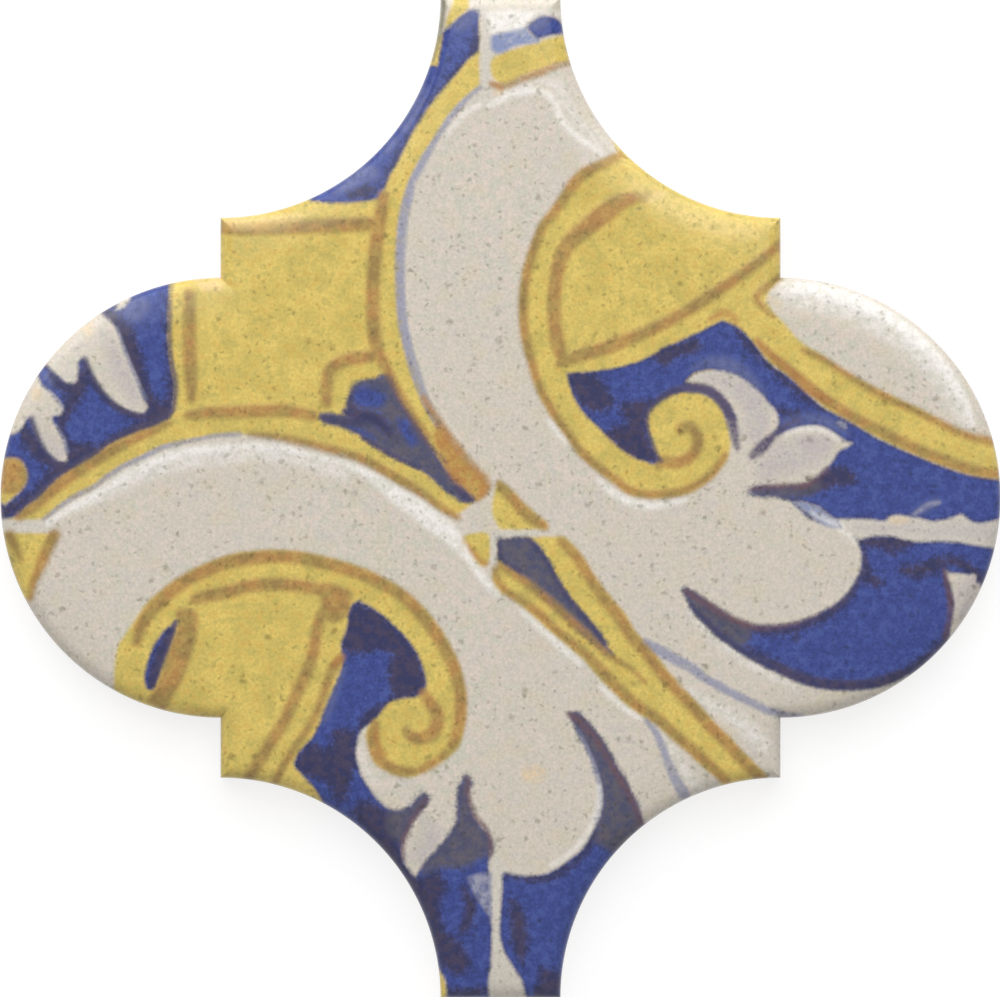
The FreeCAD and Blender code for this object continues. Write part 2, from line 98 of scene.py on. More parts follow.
# Outlines ("area") and brush lines ("line", with the width at each point), in the order of painting.
# K marks a corner. A form covers what was painted there before, and "cream" bares the ground again.
PAINTING = [
    # Left side: yellow field, its rim up the neck and its lower rim down to the left joint
    ("yellow", "area", [
        (10, 519, K), (60, 470), (110, 440), (165, 412, K), (165, 268, K), (213, 268, K), (213, 205, K),
        (300, 190, K), (350, 150), (400, 90), (430, 40, K), (479.5, 20, K), (479.5, 86, K), (469, 95),
        (456.5, 107), (447, 118), (440, 130), (430.5, 145), (423, 156), (417, 168), (411, 181),
        (406, 197), (401, 214), (399, 240), (399, 290), (402, 320), (407, 345), (414, 370), (421, 390),
        (430, 410), (439, 425), (449, 440), (461, 456), (476, 472), (487, 486), (484, 495),
        (476, 501, K), (462, 512), (455, 516, K), (443, 511), (431, 503), (420, 492), (400, 484),
        (379, 470), (348, 455), (302, 443), (256, 435), (230, 435), (199, 439), (161, 448), (122, 468),
        (92, 490), (66, 504), (45, 520, K),
    ]),
    ("blue", "area", [
        (443, 32, K), (456, 20), (471, 10, K), (479, 11, K), (480, 50, K), (470, 59), (458, 73),
        (446, 87), (434, 101), (423, 117), (412, 135), (406, 147), (399, 161), (391, 175), (386, 187),
        (380, 199, K), (355, 203), (330, 203.5), (313, 202, K), (300, 195, K), (350, 150), (390, 100),
        (415, 65, K), (429, 65, K), (437, 66, K), (440, 50),
    ]),
    ("yellow", "area", [
        (455, -6, K), (467, -6, K), (469, 8), (458, 19), (445, 31, K), (446, 22), (451, 8),
    ]),
    # Left lobe: blue ground with flames
    ("blue", "area", [
        (169.9, 280, K), (169, 316), (169, 346), (171.4, 365), (174.5, 380), (174.5, 397), (173, 411),
        (168, 420, K), (153, 426), (130, 435), (113, 443), (95, 456.5), (76.5, 467), (58, 479.5),
        (38, 499), (23, 510), (20, 517, K), (-10, 520, K), (-10, 400, K), (60, 300, K), (150, 265, K),
    ]),
    ("cream", "area", [
        (104, 315, K), (113, 324), (121, 340), (128.6, 360), (136, 379), (144, 398.6), (148.5, 409, K),
        (144, 413), (133, 411), (118, 404.7), (105.6, 394), (96.4, 381.7), (90, 369.5), (86, 361),
        (82, 359), (78.5, 363, K), (78, 374), (75.8, 381.7), (71, 384), (65.8, 381.7), (58, 375.6),
        (50.5, 369.5), (46, 365, K), (30, 350, K), (80, 290, K),
    ]),
    ("cream", "area", [
        (38, 376, K), (41.3, 384), (50.5, 392.5), (59.7, 401.6), (63.5, 409), (61.5, 415, K),
        (52.5, 416, K), (53.6, 423), (59.7, 432), (65.8, 446), (67.4, 461, K), (61, 461), (50.5, 455),
        (41, 443), (35, 429), (32, 419), (29, 416), (26, 421.5, K), (20, 430.7), (15, 433),
        (10, 434, K), (0, 430, K), (0, 380, K), (25, 365, K),
    ]),
    ("cream", "area", [(115, 311, K), (124, 308), (131, 299, K), (120, 285, K)]),
    ("yellow", "area", [
        (3, 459, K), (12, 458.5), (20, 460), (25.5, 467.5), (27.5, 475), (24.5, 486), (17, 495),
        (5, 505, K), (-5, 500, K), (-5, 460, K),
    ]),
    # Upper neck, right of the joint
    ("yellow", "area", [
        (491, 62), (500, 54), (515, 49), (530, 44), (545, 40), (572, 33, K), (576, 60, K), (555, 65),
        (540, 71), (520, 78), (505, 85), (496, 82), (491, 72),
    ]),
    ("sky", "area", [
        (491, 37), (510, 31), (525, 28), (530, 34), (540, 41), (515, 47), (497, 54), (491, 50),
    ]),
    ("blue", "area", [
        (525, 28, K), (535, 20), (548, 16), (557, 19), (562, 23), (575, 30, K), (575, 34, K), (550, 36),
        (538, 40, K), (531, 34),
    ]),
    # Right side: yellow scroll, its ring and the long band over the right lobe
    ("yellow", "area", [
        (612, 140, K), (700, 190, K), (790, 205, K), (790, 262, K), (783, 276), (775, 284), (768, 293),
        (766, 301, K), (773, 312), (783, 322.7), (802.9, 344), (818, 353.3), (839.6, 368.6),
        (867, 383.9), (891.6, 396), (920.7, 410), (951, 426.7), (974, 436), (1005, 442, K),
        (1005, 480, K), (974, 476), (944, 466.5), (913, 454.3), (876, 437.5), (845.7, 419), (824, 408),
        (806, 391.5), (790.6, 377.8), (769, 362.5), (755, 345), (735, 330, K), (700, 393, K),
        (712, 398), (722, 408), (727, 425), (730, 440), (730, 450), (728, 457), (722, 466), (713, 477),
        (698, 488), (682, 495), (664, 497.5), (646, 497.5), (629, 494), (614, 483), (595, 469),
        (580, 455.5), (564, 433), (553, 419), (547, 408), (541, 399), (535, 384), (530, 368),
        (524, 347), (521, 330), (519.5, 307), (521, 286), (525.5, 264), (533, 241), (542, 221),
        (550, 212), (560, 197), (570, 183), (580, 172), (590, 166), (604, 160), (618, 153, K),
    ]),
    ("blue", "area", [
        (567, 373, K), (568, 380), (571.6, 393.4), (580.5, 410), (590, 420), (598.4, 428.2),
        (610, 440.7), (620.7, 449.6), (631.4, 456.8), (644.8, 462), (654.6, 464.8), (661, 459.5, K),
        (656.4, 454), (652, 442.5), (648.4, 430), (646.6, 420), (648.4, 411.3), (656.4, 403),
        (665.4, 397), (676, 393.4), (690, 392), (707, 395), (719, 404), (726, 418, K), (742, 425, K),
        (745, 500, K), (700, 570, K), (682, 590, K), (690, 606), (705, 624), (722, 640), (738, 652),
        (754, 662), (775, 671.6), (798, 682), (821, 688.5), (844, 690), (867, 689), (885.5, 685.4),
        (905, 677, K), (1005, 640, K), (1005, 480, K), (974, 475.7), (944, 466.5), (913, 454.3),
        (876, 437.5), (845.7, 419), (824, 408), (806, 391.5), (790.6, 377.8), (769, 362.5), (755, 345),
        (735, 325), (722, 320, K), (707, 328), (684, 338.5), (661, 349), (646, 358), (623, 366),
        (600, 370.5),
    ]),
    ("cream", "area", [
        (685, 382.5, K), (692, 375), (707, 370.5), (722, 371), (738, 376), (753, 387), (765, 400),
        (776, 413), (779, 424, K), (772, 436, K), (782, 434), (794, 429), (810, 426), (824, 427.5),
        (836, 435), (843, 440), (852, 443, K), (846, 447), (840, 450), (833, 460), (824, 470),
        (814, 479.5), (803, 484), (791, 486), (775, 486), (760, 486), (747, 491, K), (753, 495),
        (774, 497), (790, 501), (797, 507), (804, 515, K), (812, 520), (829, 525), (846, 531),
        (855, 539), (859.5, 549), (861, 561), (858, 575), (849, 590), (836.5, 603), (821, 612),
        (800, 621), (780, 625), (762, 625.5), (748, 624), (733, 618), (716, 607), (701, 597),
        (687, 588), (678, 588, K), (672, 575, K), (730, 500, K), (736, 455, K), (737, 430), (735, 416),
        (730, 406), (722, 397), (712, 389), (698, 385),
    ]),
    ("cream", "area", [
        (945, 572, K), (953, 573.5), (965, 574), (974, 580), (982, 588, K), (990, 615, K),
        (949, 640, K), (952, 618), (953.6, 601), (949.8, 586),
    ]),
    # Crossing in the middle and the twin band down to the right
    ("yellow", "area", [
        (498, 480.5, K), (507, 486.5), (522, 502), (538, 516), (547, 525), (547, 529, K), (507, 529.5),
        (499.5, 529, K), (493, 516), (492, 503.5), (495, 491),
    ]),
    ("yellow", "area", [
        (464, 537), (473.5, 533), (488, 534), (490, 545), (490, 557), (486, 566), (469, 557),
        (464, 549),
    ]),
    ("yellow", "area", [
        (539, 536, K), (565, 537, K), (579, 552), (593, 574), (608, 594), (623.5, 612), (636.5, 633.5),
        (649, 646), (667, 670), (682, 687), (698, 704), (713, 721), (728, 736), (744, 753), (764, 773),
        (780, 790, K), (728, 790, K), (719, 780), (705, 768), (690, 754), (675, 741), (659.5, 727),
        (646, 718), (629, 707), (614, 692), (598, 676), (584, 660), (568, 646), (553, 634), (538, 620),
        (522, 606), (507, 595), (499.5, 592), (493, 580), (493, 568, K), (498, 558, K), (498, 540, K),
    ]),
    ("blue", "area", [
        (498, 539, K), (512, 538), (528, 537, K), (537, 544), (548, 560), (559.5, 581), (573, 601),
        (590, 621), (603, 638), (613, 655, K), (603, 651), (589, 639), (573, 624), (557, 609),
        (542, 595), (527, 581), (513, 570), (503, 562), (498, 558.5, K),
    ]),
    ("slate", "area", [(490, 530, K), (630, 530, K), (630, 670, K), (490, 670, K)]),
    # Lower left: ring, fields and the triangle at the lobe's end
    ("yellow", "area", [
        (-5, 533, K), (58, 533, K), (50.5, 551), (43, 567), (35, 584), (31, 600, K), (-5, 600, K),
    ]),
    ("yellow", "area", [
        (114, 690, K), (115, 667), (117, 652), (120, 642), (126, 634), (135, 620), (144, 607.5),
        (156.5, 595), (172, 583), (191, 571), (207, 563.5), (226, 556), (241, 552.5), (256, 551),
        (279, 550), (302, 552), (325, 557), (348, 563), (371, 572), (387, 580), (402, 589), (415, 600),
        (424, 608), (436, 623), (448, 641), (457.5, 660), (463, 678), (466, 695), (466, 710),
        (464, 728.5), (459, 745), (448, 757), (441, 762), (427, 770), (415, 776), (402, 776),
        (387, 771), (375, 762), (369, 748), (366, 733), (372, 718, K), (345, 700, K), (330, 760, K),
        (345, 815, K), (215, 800, K), (215, 730, K), (105, 705, K),
    ]),
    ("blue", "area", [
        (359, 600, K), (378, 610.6), (393, 624), (407, 638), (418, 653.5), (425, 672), (427, 684),
        (424, 693, K), (415, 697), (402.5, 698.6), (392, 701), (384, 709), (378, 716), (370, 724),
        (363, 728.5), (359, 735), (357, 745), (356.5, 756), (361, 773), (369, 787), (378, 799),
        (389, 808), (398, 810.6), (411, 804.5), (416, 799, K), (424, 793, K), (429, 797), (426, 806),
        (418, 814), (412, 823), (404.5, 840), (402, 850), (404.5, 861), (411, 872), (416, 876, K),
        (420, 869), (427, 860), (438, 847), (447, 837), (455, 824), (457, 809), (458, 791), (463, 778),
        (466, 775.5, K), (472, 781), (469, 791), (470, 806), (475, 818), (484, 829), (490, 838),
        (492.5, 849), (491, 856, K), (503, 870, K), (507, 872), (525, 875), (545, 873), (559, 867),
        (571, 858), (584, 846), (593, 830), (599, 818), (602, 804.5), (602, 791), (597, 772),
        (590, 757), (582, 741), (575, 727), (569, 712, K), (577, 712), (590, 725), (602.5, 740),
        (611, 755), (621, 772), (630, 788.5), (637.6, 805), (643.7, 822), (652, 840, K), (600, 900, K),
        (575, 1008, K), (425, 1008, K), (400, 900, K), (340, 830, K), (322, 802, K), (314, 788),
        (303, 776), (294, 764), (297, 754.5), (310.6, 739), (320, 721), (329, 699), (338, 678),
        (342, 663), (341, 646), (347, 626), (352, 604),
    ]),
    ("blue", "area", [
        (178, 620, K), (166, 629), (156, 642), (150, 655), (146.2, 668), (144.6, 681), (147.7, 688.6),
        (152, 690), (156, 684), (161, 668), (167, 653), (173, 638),
    ]),
    ("yellow", "area", [(437, 966, K), (445, 980), (447, 990), (446, 1005, K), (436, 1005, K)]),
    # False joints, which make the tile look like a piece of a larger wall
    ("joint", "area", [(480, -6, K), (490.5, -6, K), (490.5, 103, K), (485, 106), (480, 103, K)]),
    ("joint", "area", [
        (836, 519.5, K), (867, 519), (885, 520.5), (892, 516), (905, 516), (919, 518), (928, 521),
        (948, 519), (962, 515), (970, 521), (1005, 519, K), (1005, 550, K), (974, 545), (944, 541),
        (915, 541.5), (890, 536), (867, 537), (858, 540, K), (846, 536, K),
    ]),
    ("joint", "area", [(-6, 519.5, K), (50, 519, K), (56, 524), (58, 532, K), (-6, 531.5, K)]),
    ("joint", "area", [(491, 533, K), (498, 533, K), (498, 566, K), (494, 570), (490, 566, K)]),
    ("joint", "area", [(493, 529.5, K), (541, 530, K), (544, 534), (539, 537, K), (493, 537, K)]),
    ("joint", "area", [
        (489.5, 850, K), (489, 880), (491, 910), (492, 941), (491, 964), (489, 979), (489.5, 1008, K),
        (530, 1008, K), (525, 993), (521, 979), (513, 967), (505.5, 954.5), (501, 941), (501, 905),
        (502.5, 874, K), (508, 868, K), (497, 856),
    ]),
    ("sky", "line", [(796, 503, 4), (806, 507, 8), (816, 513, 12), (826, 520, 11), (836, 525, 7)]),
    ("sky", "line", [(839, 423, 4), (844, 426, 4)]),
    # The dark field beside the crossing, blue where the cobalt is thin
    ("blue", "area", [
        (351, 391, K), (356, 384), (364, 380), (374, 379), (385, 374), (391, 376), (394, 385),
        (400, 400), (412, 418), (424, 435), (433, 450), (443, 465), (457, 480), (466, 491),
        (475, 501, K), (466, 503), (457, 498), (444, 489), (431, 477.5), (415, 467), (402, 462),
        (387, 454), (371, 444), (356, 434), (345, 428), (333, 425), (323, 421), (320, 415), (326, 413),
        (336, 415), (344, 415, K), (348, 402),
    ]),
    ("slate", "area", [(310, 365, K), (485, 365, K), (485, 510, K), (310, 510, K)]),
    ("blue", "area", [
        (352, 393), (362, 387), (376, 389), (386, 397), (383, 405), (370, 408), (356, 404),
    ]),
    ("blue", "area", [(399, 420), (405, 420), (412, 431), (418, 443), (411, 445), (404, 437)]),
    ("blue", "line", [(350, 427, 4), (362, 432, 5), (372, 438, 4)]),
    ("blue", "line", [(346, 412, 8), (360, 416, 13), (376, 420, 13), (390, 432, 9)]),
    # Cobalt brushed out to grey
    ("slate", "area", [
        (566, 709, K), (580, 710), (592, 724), (605, 740), (614, 755), (624, 772), (633, 788),
        (641, 805), (647, 824), (640, 842, K), (615, 852), (594, 841, K), (597, 818), (600, 802),
        (596, 780), (589, 760), (581, 742), (572, 727),
    ]),
    ("slate", "area", [
        (463, 772), (474, 777), (472, 800), (478, 818), (488, 830), (496, 850, K), (482, 858),
        (462, 868), (440, 868), (422, 874, K), (424, 858), (438, 844), (448, 832), (455, 815),
        (456, 792),
    ]),
    ("slate", "area", [
        (425, 790), (432, 799), (420, 814), (411, 830), (403, 844, K), (388, 830), (388, 810, K),
        (402, 806), (412, 798),
    ]),
    ("slate", "area", [
        (675, 587, K), (690, 588), (704, 598), (720, 608), (735, 617), (747, 622), (751, 632),
        (745, 645), (732, 648), (717, 638), (700, 620), (686, 603),
    ]),
    ("slate", "line", [(742, 491, 6), (765, 492, 9), (785, 492, 12), (803, 490, 14), (815, 486, 10)]),
    ("slate", "area", [(100, 306, K), (116, 306), (120, 314), (108, 322), (98, 318, K)]),
    # Cobalt washed out with water; the light patches near the upper edges are painted highlights of the
    # rounded edge
    ("haze_and_highlight", "line", [(474, 12, 8), (468, 20, 12), (458, 28, 8)]),
    ("haze_and_highlight", "line", [(424, 90, 6), (418, 102, 9), (412, 116, 8), (406, 128, 9)]),
    ("haze_and_highlight", "line", [(394, 142, 7), (388, 150, 6)]),
    ("haze_and_highlight", "area", [
        (362, 166), (376, 168), (379, 178), (368, 182), (352, 190), (336, 194), (345, 178),
    ]),
    ("haze_and_highlight", "area", [
        (128, 298), (142, 297), (150, 304), (145, 316), (134, 322), (120, 316), (112, 308), (120, 303),
    ]),
    ("haze_and_highlight", "line", [(43, 373, 5), (51, 381, 6)]),
    ("haze_and_highlight", "area", [
        (690, 370), (700, 361), (716, 356), (734, 359), (748, 369), (758, 381), (766, 397), (754, 388),
        (740, 378), (722, 371), (706, 368),
    ]),
    ("haze_and_highlight", "area", [
        (776, 426), (788, 418), (804, 414), (822, 415), (838, 423), (848, 434), (836, 431), (822, 426),
        (806, 424), (790, 428),
    ]),
    ("haze_and_highlight", "area", [(526, 25), (538, 17), (550, 16), (548, 23), (536, 30)]),
    ("haze_and_highlight", "line", [(911, 516, 4), (920, 510, 7), (929, 505, 8), (938, 501, 5)]),
    ("lavender", "area", [
        (467, 877, K), (478, 873), (492, 872, K), (492, 896), (492, 920, K), (484, 909), (474, 893),
    ]),
    # Pale smears, painted highlights along the rounded edge and beside the white lines; then grey washes
    ("pale", "line", [
        (70, 512, 6), (92, 501, 10), (138, 476, 16), (180, 461, 20), (226, 454, 20), (270, 453, 18),
        (310, 461, 14), (345, 475, 12),
    ]),
    ("pale", "line", [(690, 613, 4), (712, 636, 7), (736, 655, 9), (765, 672, 9), (795, 688, 7)]),
    ("pale", "line", [
        (500, 94, 5), (520, 89, 8), (545, 84, 9), (558, 88, 8), (568, 106, 6), (584, 128, 5),
        (602, 146, 4),
    ]),
    # Painted highlight: the upper right lobe's rounded edge catching the light
    ("pale", "line", [
        (786, 292, 16), (799, 293, 26), (834, 300, 30), (866, 313, 30), (896, 331, 28), (923, 354, 26),
        (946, 382, 22), (960, 408, 16), (967, 424, 8),
    ]),
    ("pale", "line", [(655, 724, 4), (667, 744, 7), (681, 766, 11), (697, 787, 10)]),
    ("pale", "line", [(678, 684, 4), (696, 695, 7), (716, 707, 11), (741, 722, 17), (763, 745, 15)]),
    ("pale", "line", [(365, 734, 3), (361, 750, 4), (366, 768, 4), (376, 782, 3)]),
    ("grey", "line", [(704, 376, 6), (724, 381, 14), (744, 394, 22), (757, 412, 26), (756, 432, 22)]),
    ("grey", "line", [(766, 470, 20), (786, 458, 32), (806, 450, 34), (826, 446, 20)]),
    ("grey", "line", [(424, 820, 10), (430, 838, 22), (420, 856, 14)]),
    ("grey", "line", [(104, 334, 8), (116, 358, 14), (128, 380, 18), (138, 400, 12)]),
    ("grey", "line", [(36, 420, 5), (46, 436, 12), (58, 452, 12)]),
    ("grey", "line", [(972, 578, 8), (966, 592, 18), (962, 612, 14)]),
    ("grey", "line", [
        (858, 529, 5), (880, 528, 7), (905, 528, 9), (930, 531, 9), (958, 530, 12), (985, 533, 14),
    ]),
    # Painted highlight: a light-blue rim along the blue's left edge
    ("haze_and_highlight", "line", [(344, 668, 4), (338, 684, 6), (332, 700, 7), (325, 718, 6)]),
    # Peach and ochre stains; those near the upper edges are painted highlights of the rounded edge
    ("stain_and_highlight", "area", [(523, 768), (534, 764), (546, 770), (544, 780), (532, 783), (522, 778)]),
    ("stain_and_highlight", "area", [(82, 330), (90, 323), (94, 329), (87, 338)]),
    ("stain_and_highlight", "area", [(33, 390), (39, 387), (41, 398), (35, 401)]),
    ("stain_and_highlight", "area", [(194, 279), (210, 277), (224, 279), (222, 290), (206, 292)]),
    ("stain_and_highlight", "area", [(493, 84), (504, 86), (502, 96), (494, 95)]),
    ("stain_and_highlight", "line", [(768, 298, 5), (776, 302, 8), (780, 308, 5)]),
    ("stain_and_highlight", "line", [(890, 520, 6), (898, 521, 8), (906, 520, 5)]),
    ("stain_and_highlight", "line", [(644, 198, 8), (655, 197, 10), (664, 196, 6)]),
    ("stain_and_highlight", "line", [(224, 221, 4), (250, 220, 7), (280, 219, 6), (300, 216, 4)]),
    # Lavender and grey outlines
    ("lavender", "line", [
        (412, 180, 6), (410, 190, 9), (404, 215, 10), (400.5, 250, 10), (400.5, 290, 10),
        (402.5, 320, 10), (407.5, 345, 10), (414.5, 370, 10), (421.5, 390, 9), (430, 410, 8),
        (438, 425, 6),
    ]),
    ("lavender", "line", [
        (480, 88, 4), (468, 98, 5), (456, 111, 6), (444, 127, 6), (434, 143, 6), (424, 160, 8),
        (414, 178, 8),
    ]),
    ("lavender", "line", [
        (45, 519, 4), (66, 502.5, 5), (80, 494, 5), (92, 488.5, 5), (107, 477, 5), (122, 467, 5),
        (145, 456.5, 5), (161, 448, 5), (184, 442, 4), (199, 439, 4), (214, 436, 4), (240, 434, 4),
    ]),
    ("lavender", "line", [
        (645, 642, 8), (657, 649, 11), (673, 658, 11), (690, 667, 10), (705, 678, 9), (721, 687, 9),
        (736, 695, 9), (751, 702, 8), (767, 710, 8), (782, 714, 7), (802, 717, 6),
    ]),
    ("lavender", "line", [
        (646, 720, 5), (656, 733, 7), (662, 746, 8), (667, 760, 8), (674, 776, 10), (684, 794, 12),
    ]),
    ("lavender", "line", [(117, 328, 2), (127, 355, 3), (137, 379, 3), (146, 399, 3)]),
    ("lavender", "line", [(43, 385, 2), (54, 396, 3), (63, 407, 3)]),
    ("lavender", "line", [(56, 425, 2), (63, 437, 3), (68, 452, 3)]),
    ("lavender", "line", [(578, 730, 2), (589, 752, 3), (597, 775, 4), (600, 800, 4), (596, 820, 3)]),
    ("lavender", "line", [(913, 515, 3), (920, 510, 4), (928, 505, 5), (939, 502.5, 3)]),
    # Brown brush lines
    ("brown", "line", [
        (222, 228, 12), (240, 229, 13), (265, 228, 14), (290, 227, 15), (320, 226, 15), (350, 225, 15),
        (372, 224, 14),
    ]),
    ("brown", "line", [
        (384, 196, 11), (381, 215, 13), (377, 240, 14), (374, 270, 14), (373, 297, 14), (374, 328, 14),
        (378, 351, 13), (386, 367, 11), (394, 381, 8), (404, 399, 7), (416, 418, 6), (429, 437, 5),
    ]),
    ("brown", "line", [
        (374, 356, 12), (360, 358, 13), (348, 360, 13), (336, 365, 13), (329, 373, 12), (327, 385, 12),
        (327, 402, 11),
    ]),
    ("brown", "line", [
        (189, 415, 9), (210, 413, 12), (240, 412, 13), (265, 411, 13), (287, 411, 13), (313, 416, 11),
    ]),
    ("brown", "line", [(190, 294, 11), (190, 320, 13), (190, 350, 14), (191, 375, 13), (192, 398, 9)]),
    ("brown", "line", [
        (20, 517, 8), (38, 504, 11), (58, 486, 12), (76.5, 473, 12), (95, 461, 12), (113, 450, 12),
        (130, 441, 11), (153, 431, 9), (170, 423, 5),
    ]),
    ("brown", "line", [
        (250, 434, 5), (272, 436, 7), (302, 442, 8), (333, 450, 9), (364, 460, 10), (394, 477, 11),
        (415, 489, 11), (431, 501, 10), (443, 509, 9), (458, 517, 6),
    ]),
    ("brown", "line", [
        (424, 398, 6), (430, 408, 7), (438, 420, 8), (446, 433, 9), (461, 452, 9), (476, 470, 9),
        (485, 480, 9), (488, 488, 7), (478, 499, 5),
    ]),
    ("brown", "line", [
        (491, 84, 4), (505, 86, 6), (520, 80, 7), (540, 73, 7), (555, 67, 6), (575, 62, 5),
    ]),
    ("brown", "line", [
        (619, 156, 8), (605, 163, 10), (592, 169, 11), (582, 175, 12), (573, 185, 12), (563, 199, 11),
        (553, 214, 10), (545, 223, 10), (536, 242, 10), (529, 265, 10), (524.5, 286, 10),
        (523, 307, 10), (524.5, 330, 10), (527.5, 347, 10), (533, 367, 9), (538, 383, 9), (544, 397, 9),
        (550, 407, 9), (557, 418, 9), (567, 432, 8), (582, 453, 9), (597, 466, 9), (616, 480, 9),
        (631, 491, 9), (647, 494, 9), (664, 494, 9), (681, 491.5, 9), (696, 485, 9), (710, 475, 9),
        (719, 464, 8), (725, 455, 6),
    ]),
    ("brown", "line", [
        (646, 196, 8), (634, 198, 12), (620, 203, 17), (604, 214, 20), (584, 230, 18), (568, 245, 16),
        (560, 261, 15), (555.5, 284, 14), (554, 307, 14), (555.5, 330, 14), (559, 348, 14),
        (564, 362, 11),
    ]),
    ("brown", "line", [
        (560, 363, 9), (582, 355, 13), (599, 350, 14), (622, 342, 13), (646, 332, 12), (676.5, 317, 12),
        (707, 298, 12), (738, 277, 11), (761, 260, 10), (784, 241, 9),
    ]),
    ("rust", "line", [(710, 320, 5), (720, 314, 8), (729, 314, 8), (737, 322, 4)]),
    ("brown", "line", [
        (780, 277, 7), (770, 285, 8), (761, 291, 8), (756, 298, 7), (762, 307, 6), (773, 316, 4),
    ]),
    ("brown", "line", [
        (803, 350, 6), (821, 358, 7), (844, 373, 7), (867, 387, 8), (887, 398, 8), (913, 409.5, 8),
        (943.7, 425, 8), (966.6, 435, 9), (1003, 444, 9),
    ]),
    ("brown", "line", [
        (757, 341, 5), (769, 353.5, 7), (790.6, 371.5, 9), (810.5, 389, 11), (828.9, 402, 11),
        (851.8, 416.5, 11), (882.4, 432, 11), (905.4, 444, 11), (928.4, 454, 11), (951.3, 463, 11),
        (974.3, 470, 11), (1003, 475, 9),
    ]),
    ("brown", "line", [
        (680.5, 430, 9), (684, 427, 11), (689, 426.5, 11), (695, 432, 11), (697.5, 441, 12),
        (694.5, 451.5, 12), (687, 459, 12), (675, 462.5, 12), (664, 462, 11), (659, 466, 8),
    ]),
    ("brown", "line", [(499, 484, 8), (507, 492, 11), (520, 507, 12), (533, 519, 12), (544, 526, 9)]),
    ("brown", "line", [
        (561, 541, 9), (575, 555, 11), (589, 577, 11), (603, 597, 12), (618, 616, 12), (632, 637, 12),
        (645, 651, 12), (662, 674, 12), (678, 691, 12), (694, 708, 12), (709, 725, 12), (724, 740, 12),
        (740, 757, 12), (762, 779, 11),
    ]),
    ("brown", "line", [
        (496, 568, 7), (497, 580, 8), (504, 589, 8), (524, 602, 9), (541, 615, 9), (557, 630, 9),
        (572, 642, 9), (587, 655, 9), (602, 671, 11), (617, 687, 11), (632, 701, 11), (650, 713.5, 11),
        (663, 723, 11), (678, 737, 11), (693, 750, 11), (708, 763.5, 11), (726, 780, 9),
    ]),
    ("brown", "line", [
        (500, 565, 7), (515, 575, 8), (530, 585, 9), (545, 598, 9), (561, 611, 9), (576, 626, 9),
        (591, 638, 8), (603, 650, 7), (613, 658, 6), (629, 667, 5), (645, 682, 4),
    ]),
    ("brown", "line", [(55, 535, 13), (47, 552, 12), (40, 568, 11), (34, 584, 8), (31, 598, 6)]),
    ("brown", "line", [(10, 536, 12), (16, 547, 9), (22, 560, 5)]),
    ("brown", "line", [
        (137, 642, 9), (140, 630, 12), (148, 615, 13), (160, 601, 14), (174, 589, 14), (192, 577, 14),
        (210, 569, 14), (226, 563, 14), (241, 559.5, 14), (256, 557.5, 14), (279, 556, 13),
        (302, 558, 13), (325, 563, 13), (348, 569, 13), (371, 578, 13), (387, 586, 13), (402, 595, 13),
        (414, 606, 13), (430, 625, 13), (442, 643, 13), (451.5, 661, 13), (457.5, 679, 13),
        (460.5, 695, 13), (460.5, 710, 13), (458.5, 728, 12), (453, 745, 11),
    ]),
    ("brown", "line", [(446, 753, 9), (440, 758, 8)]),
    ("brown", "line", [(434, 762, 9), (422, 769, 9)]),
    ("brown", "line", [
        (415, 771, 8), (402, 771, 11), (389, 766, 11), (380, 759, 11), (374, 747, 11), (373, 733, 11),
        (376, 723, 8),
    ]),
    ("brown", "line", [
        (196, 599, 11), (211, 595, 13), (226, 592, 13), (241, 588, 13), (256, 585, 13), (279, 584, 13),
        (302, 586, 13), (318, 589, 13), (333, 591, 15), (347, 595, 12),
    ]),
    ("brown", "area", [
        (323, 590), (338, 590), (352, 596), (350, 608), (343, 619), (333, 622), (324, 618), (321, 604),
    ]),
    ("brown", "area", [
        (177.5, 610), (188, 608), (197, 612), (198.2, 629), (192.8, 652), (184, 677), (173, 697),
        (164, 712, K), (147, 700, K), (153, 692), (160.7, 676), (167, 655), (173, 640), (178, 626),
    ]),
    ("brown", "line", [
        (322, 614, 11), (317, 630, 12), (315, 645, 12), (308, 669, 12), (299, 689, 12), (290, 709, 12),
        (281, 727, 12), (271, 742, 12), (262, 757, 12), (249, 777, 11),
    ]),
    ("brown", "line", [
        (341, 657, 8), (331, 673, 9), (323, 696, 8), (314, 718, 8), (303, 736, 8), (292, 752, 8),
        (285, 763, 8), (276, 780, 8),
    ]),
    ("brown", "line", [
        (424, 693, 9), (430, 702, 13), (437, 713, 14), (437, 725, 14), (430.5, 734, 14), (421, 738, 13),
        (412, 736, 12), (406, 730, 8),
    ]),
    # Orange-brown, where the brown was fired hottest
    ("rust", "area", [
        (436, 425), (447, 436), (460, 453), (473, 468), (484, 480), (488, 488), (484, 495),
        (475, 500, K), (466, 492), (455, 483), (446, 470), (440, 455), (434, 440),
    ]),
    ("rust", "line", [
        (757, 341, 5), (769, 353.5, 7), (790.6, 371.5, 8), (810.5, 389, 9), (828.9, 402, 7),
    ]),
    ("brown", "area", [
        (3, 459, K), (12, 458), (20, 460), (26, 468), (28, 476), (25, 486), (17, 493), (6, 494, K),
        (-5, 490, K), (-5, 460, K),
    ]),
    ("rust", "line", [(333, 665, 5), (339, 660, 8)]),
    ("rust", "line", [(463, 541, 5), (468, 548, 8), (476, 557, 7), (486, 564, 5)]),
    ("rust", "line", [(493, 85, 4), (501, 88, 5)]),
    ("rust", "line", [(376, 728, 5), (377, 740, 6), (384, 754, 5)]),
    # Painted highlight: pale straw bands along the upper hollows' rounded edges, where they face the light
    ("straw_highlight", "line", [
